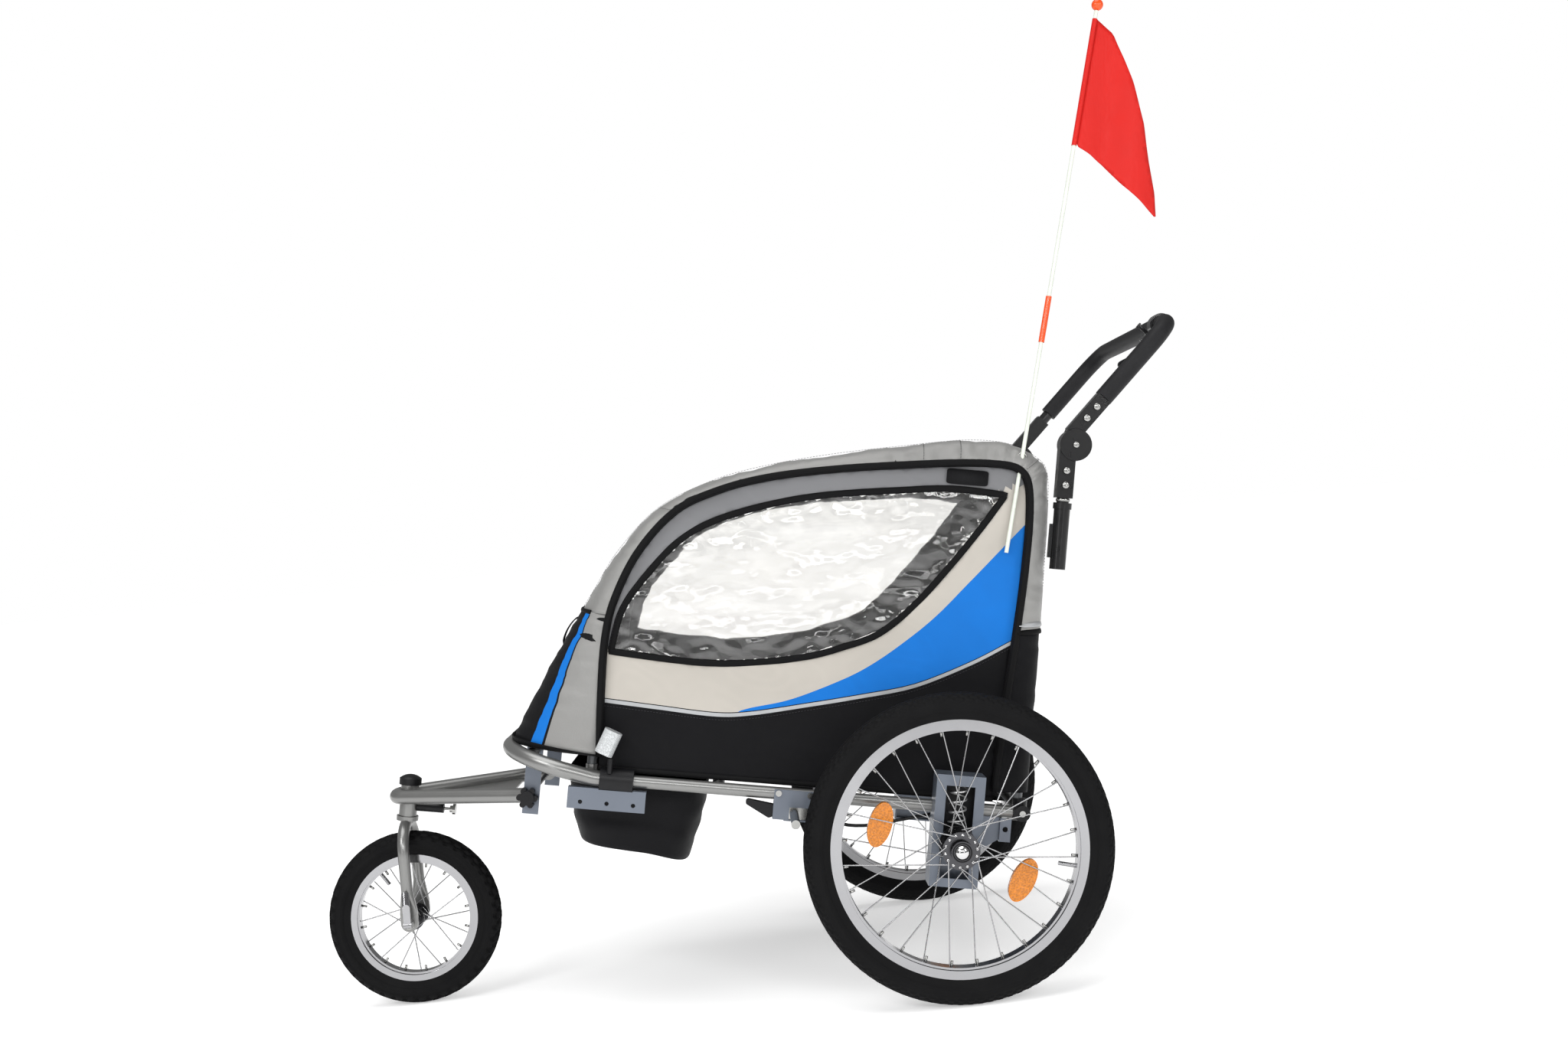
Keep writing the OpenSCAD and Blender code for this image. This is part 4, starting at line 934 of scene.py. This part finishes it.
def footwell():
    """The sunken foot bag: a sewn shell that hangs from the frame and sags at its rear corner."""
    count, levels, low_z = 96, 20, 78
    x0, x1, half_w, top = -638.0, -402.0, INNER_Y - 26.0, RAIL_Z - 3.0
    points = []
    for f in np.linspace(0, 1, levels):
        z = top - f * (top + low_z)
        tuck = 30 * f ** 1.6
        for a in turns(count):
            c, s = superellipse(a, 7 - 3 * f)
            x = (x0 + x1) / 2 + c * ((x1 - x0) / 2 - tuck * 0.75)
            y = s * (half_w - tuck)
            fold = ripple(x / 48, z / 34, y / 70, 21) * 8 * sin(pi * min(1, f * 1.05)) ** 0.5
            droop = 20 * f ** 2 * max(0, c) ** 2 - 6 * f ** 2 * max(0, -c)
            points.append((x + c * fold, y + s * fold, z - droop + 1.5 * fold * f))
    last = np.array(points[-count:])
    middle = last.mean(0)
    shares = (0.9, 0.7, 0.45, 0.2)
    for f in shares:
        for q in middle + (last - middle) * f:
            points.append((q[0], q[1], q[2] - 3 * (1 - f) + ripple(q[0] / 40, q[1] / 60, 0, 2) * 2))
    faces = tube_faces(levels + len(shares), count) + [tuple(range(len(points) - count, len(points)))]
    obj = piece("footwell_fabric", points, faces, ["black_cloth"])
    area = thicken(obj, BAG_CLOTH)
    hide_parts("footwell_bag")


def cabin_floor():
    """The floor cloth between the rails, slack in its middle."""
    front, length, side_gap, count = -404, 488, 6, 40
    points = []
    for x in np.linspace(front, front + length, count):
        for y in np.linspace(-INNER_Y + side_gap, INNER_Y - side_gap, count):
            sag = 2.5 * sin(pi * (x - front) / length) + ripple(x / 60, y / 60, 0, 5) * 1.2
            points.append((x, y, RAIL_Z + 12.5 - sag))
    floor = piece("cabin_floor_fabric", points, grid_faces(count, count), ["black_cloth"])
    thicken(floor, BAG_CLOTH)


footwell()
cabin_floor()


# ---- flag
POLE_LEAN, POLE_TILT = math.atan2(13, 500), radians(4.95)
POLE_FOOT = np.array([48.0, -(RAIL_Y + 0.5), 467.0])
POLE_LEN, POLE_R = 900, 3.25


def on_pole(out, high, y=0.0):
    """A place out from the flag pole's line and high along it, in the chassis frame."""
    p = np.array([out, y * cos(POLE_LEAN) + high * sin(POLE_LEAN),
                  high * cos(POLE_LEAN) - y * sin(POLE_LEAN)])
    c, s = cos(POLE_TILT), sin(POLE_TILT)
    return POLE_FOOT + (c * p[0] + s * p[2], p[1], -s * p[0] + c * p[2])


def pennant():
    """The waving flag and the sleeve that holds it to the pole."""
    top, hoist, edge = POLE_LEN - 14, 212, POLE_R + 0.3
    outline = [(edge, top), (edge, top - hoist), (28, top - 221), (52, top - 235),
               (86, top - 262), (122, top - 285), (153, top - 306), (144, top - 266),
               (126, top - 220), (106, top - 158), (78, top - 94), (58, top - 58), (34, top - 18)]
    loop = resampled(np.array(outline + outline[:1]), 8)[:-1]
    flat, faces = filled([loop], [], 7, lambda x, z: inside(loop, x, z))
    points = []
    for x, z in flat:
        grow = min(1.0, x / 60)
        wave = 7.0 * sin(x / 17 + z / 130) + 2.0 * ripple(x / 30, z / 45, 0, 4)
        points.append(on_pole(x, z, -0.6 + grow * wave))
    obj = piece("pennant_cloth", points, faces, ["flag_cloth"], "flag")
    area = thicken(obj, THIN_CLOTH)
    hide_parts("flag_pennant")
    hem_r = POLE_R * 1.3
    hem = np.array([on_pole(hem_r * cos(a), 0, hem_r * sin(a)) for a in turns(24)])
    up = on_pole(0, 1) - on_pole(0, 0)
    levels = np.linspace(top - hoist, top, 30)
    verts = [q for z in levels for q in hem + up * z]
    piece("pennant_sleeve", verts, tube_faces(len(levels), len(hem)), ["flag_cloth"], "flag")


pennant()


# ---- small trim
def dome(centre, facing, radius, height, count=20):
    """A rounded bolt or rivet head at centre, standing out along facing."""
    facing = np.asarray(facing, float) / np.linalg.norm(facing)
    helper = np.array([1.0, 0, 0]) if abs(facing[0]) < 0.9 else np.array([0, 0, 1.0])
    u = np.cross(facing, helper)
    u /= np.linalg.norm(u)
    v = np.cross(facing, u)
    rings = [(1.0, 0.0), (1.0, 0.35), (0.93, 0.6), (0.72, 0.85), (0.4, 0.98), (0.34, 0.98),
             (0.3, 0.6)]
    verts = [np.asarray(centre) + facing * height * h + radius * r * (u * cos(a) + v * sin(a))
             for r, h in rings for a in turns(count)]
    faces = tube_faces(len(rings), count)
    return verts, faces + [tuple(range(len(verts) - count, len(verts)))]


def push_bar_trim():
    """Bright rivets on the joint plates, the pivot bolt, and the steel ring above each sleeve."""
    leg_y, leg_x, half = RAIL_Y - 5, 133.5, 12
    pivot_x, pivot_z, setback, lean = 145, 650, 15, radians(36.4)
    rivet = (5.6, 2.6)
    collar_r, collar_z = 10.6, 559.5
    low, high, rings = [], [], []
    for side in (-1, 1):
        face, out = side * (leg_y + half + 2), (0, side, 0)
        low += [dome((leg_x, face, z), out, *rivet) for z in (583.6, 607.2)]
        for up in (44.5, 69):
            x = pivot_x - setback * cos(lean) + up * sin(lean)
            z = pivot_z + setback * sin(lean) + up * cos(lean)
            high.append(dome((x, face, z), out, *rivet))
        low.append(dome((pivot_x, side * (leg_y + 16), pivot_z), out, 5.0, 2.5))
        ring = [(x, y, collar_z) for x, y in circle((leg_x, side * leg_y), collar_r, 40)]
        rings.append(swept(ring, section(1.6, 5, 8), (0, 0, 1), True))
    piece("sleeve_rings", *joined(rings), ["zinc"])
    piece("lower_rivets", *joined(low), ["zinc"], "bar_legs")
    piece("upper_rivets", *joined(high), ["zinc"], "push_bar")


def hub_trim(label, side):
    """A polished cap, a dark seal ring and the spoke heads on the outer end of a rear hub."""
    end, cap_r, steps, levels = 393.5, 13.4, 24, 10
    flange_y, head_circle, heads = 381.5, 25, 14
    body = label + "_wheel"
    cap = [(x, side * (end - 6 + cap_r * cos(lift)), z)
           for lift in np.radians(np.linspace(62, 4, levels))
           for x, z in circle((0, 0), cap_r * sin(lift), steps)]
    faces = tube_faces(levels, steps) + [tuple(range(len(cap) - steps, len(cap)))]
    piece(label + "_hub_cap", cap, faces, ["polished"], body)
    seal = in_plane(circle((0, 0), 14.2, 48), side * end)
    piece(label + "_hub_seal", *swept(seal, section(2.6, 3.4, 10), (0, 1, 0), True),
          ["black_plastic"], body)
    places = [(head_circle * cos(a), side * flange_y, head_circle * sin(a))
              for a in 2 * pi * (np.arange(heads) + 0.5) / heads]
    parts = [dome(place, (0, side, 0), 2.4, 1.5, 12) for place in places]
    piece(label + "_spoke_heads", *joined(parts), ["polished"], body)


def spring_backing(label, side):
    """The black guard sheet behind a spring."""
    y = side * 286.05
    corners = [(-36, y, 104), (36, y, 104), (36, y, -20), (-36, y, -20)]
    deep = [(x, y - side * 0.1, z) for x, _, z in corners]
    faces = [(0, 1, 2, 3), (7, 6, 5, 4)] + tube_faces(2, 4)
    piece(label + "_spring_guard", corners + deep, faces, ["black_plastic"], smooth=False)


def patch(x0, x1, z0, z1, side, lift):
    """A rounded patch of cloth sewn flat on a side panel."""
    shape = [superellipse(a, 9) for a in turns(32)]
    line = [((x0 + x1) / 2 + c * (x1 - x0) / 2, (z0 + z1) / 2 + s * (z1 - z0) / 2) for c, s in shape]
    n, y = len(line), side * (PANEL_Y + lift)
    verts = [*in_plane(line, y), *in_plane(line, y + side * 1.2)]
    return verts, tube_faces(2, n) + [tuple(range(n)), tuple(range(n, 2 * n))]


def cover_trim():
    """Hook-and-loop patches under the roof edge, the flag pole's eyelet and a tab on the nose."""
    patches = [patch(-58, 10, 571, 596, side, 2.2) for side in (-1, 1)]
    piece("closure_patches", *joined(patches), ["webbing"])
    x, y, z = on_pole(0, 157)
    ring = in_plane(circle((x, z), 7, 28), y)
    piece("pole_eyelet", *swept(ring, section(2.4, 2.4, 8), (0, 1, 0), True), ["zinc"])
    tab = [cover_point(1.72 + 0.6 * f, -0.6, -2 - 7 * sin(pi * f) ** 0.5)
           for f in np.linspace(0, 1, 12)]
    piece("nose_tab", *swept(tab, section(24, 2.4, 10), (-1, 0, 0.45)), ["webbing"])


push_bar_trim()
cover_trim()
for label, side in SIDES:
    hub_trim(label, side)
    spring_backing(label, side)


# ---- floor, light and camera
FLOOR_GLOW = 0.42
SKY = 1.6
AMBIENT = 0.26


def stage_floor():
    """A plain pale floor that reaches far behind the trailer."""
    mesh = bpy.data.meshes.new("floor")
    mesh.from_pydata([(-30, -12, 0), (30, -12, 0), (30, 60, 0), (-30, 60, 0)], [], [(0, 1, 2, 3)])
    floor = bpy.data.objects.new("floor", mesh)
    bpy.context.scene.collection.objects.link(floor)
    tree, shader = new_material("floor_paint", (0.93, 0.93, 0.93), 0.6)
    tinted(tree, shader, noise_tex(tree, coords(tree), 3, 4), (0.92, 0.92, 0.92),
           (0.94, 0.94, 0.94))
    shader.inputs["Emission Color"].default_value = (1, 1, 1, 1)
    shader.inputs["Emission Strength"].default_value = FLOOR_GLOW
    mesh.materials.append(MAT["floor_paint"])


def lamp(name, kind, power):
    light = bpy.data.objects.new(name, bpy.data.lights.new(name, kind))
    light.data.energy = power
    bpy.context.scene.collection.objects.link(light)
    return light


def softbox(name, place, target, size, power):
    light = lamp(name, "AREA", power)
    light.data.shape = "RECTANGLE"
    light.data.size, light.data.size_y = size
    light.location = place
    light.rotation_euler = (Vector(target) - Vector(place)).to_track_quat("-Z", "Y").to_euler()


def overhead():
    """Even light from straight above, so that the floor stays pale to its far edge."""
    light = lamp("overhead", "SUN", SKY)
    light.data.angle = radians(50)
    light.rotation_euler = (radians(8), radians(-6), 0)


def lights():
    """Softboxes for the broad light, strips for the bright lines on tubes, and an even surround."""
    softbox("key_light", (-2.2, -2.6, 2.8), (0, 0, 0.5), (1.6, 1.2), 46)
    softbox("side_light", (2.6, -2.2, 1.9), (0.2, 0, 0.5), (1.0, 1.6), 21)
    softbox("front_light", (0.3, -3.6, 1.9), (0.1, 0, 0.6), (2.2, 0.5), 26)
    softbox("upper_strip", (-0.7, -3.3, 2.1), (0, 0, 0.7), (1.8, 0.14), 9)
    softbox("left_strip", (-1.7, -3.2, 1.1), (0, 0, 0.6), (0.07, 1.7), 8)
    softbox("right_strip", (1.5, -3.3, 1.3), (0.2, 0, 0.6), (0.07, 1.7), 6)
    overhead()
    world = bpy.data.worlds.new("studio")
    bpy.context.scene.world = world
    world.use_nodes = True
    tree = world.node_tree
    rays = tree.nodes.new("ShaderNodeLightPath")
    seen = maths(tree, "MAXIMUM", rays.outputs["Is Camera Ray"], rays.outputs["Is Transmission Ray"])
    shine = tree.nodes["Background"]
    shine.inputs["Color"].default_value = (1, 1, 1, 1)
    link(tree, spread(tree, seen, AMBIENT, 1.0, 0.0, 1.0), shine.inputs["Strength"])


def camera():
    """The photograph's viewpoint: 2.9 m to the left, turned and rolled a little."""
    yaw, pitch, roll = 0.0218, -0.0019, -0.1015
    place = (AXLE_X - 0.2764, -2.8694, 0.7753)
    forward = Vector((sin(yaw) * cos(pitch), cos(yaw) * cos(pitch),
                      -sin(pitch)))
    right = Vector((cos(yaw), -sin(yaw), 0))
    up = right.cross(forward)
    turned = cos(roll) * right + sin(roll) * up
    upward = -sin(roll) * right + cos(roll) * up
    data = bpy.data.cameras.new("camera")
    data.sensor_width = 36
    data.lens = 36.92
    view = bpy.data.objects.new("camera", data)
    frame_axes = Matrix((turned, upward, -forward)).transposed().to_4x4()
    view.matrix_world = Matrix.Translation(place) @ frame_axes
    bpy.context.scene.collection.objects.link(view)
    bpy.context.scene.camera = view


stage_floor()
lights()
camera()
bpy.context.scene.view_settings.view_transform = "Standard"
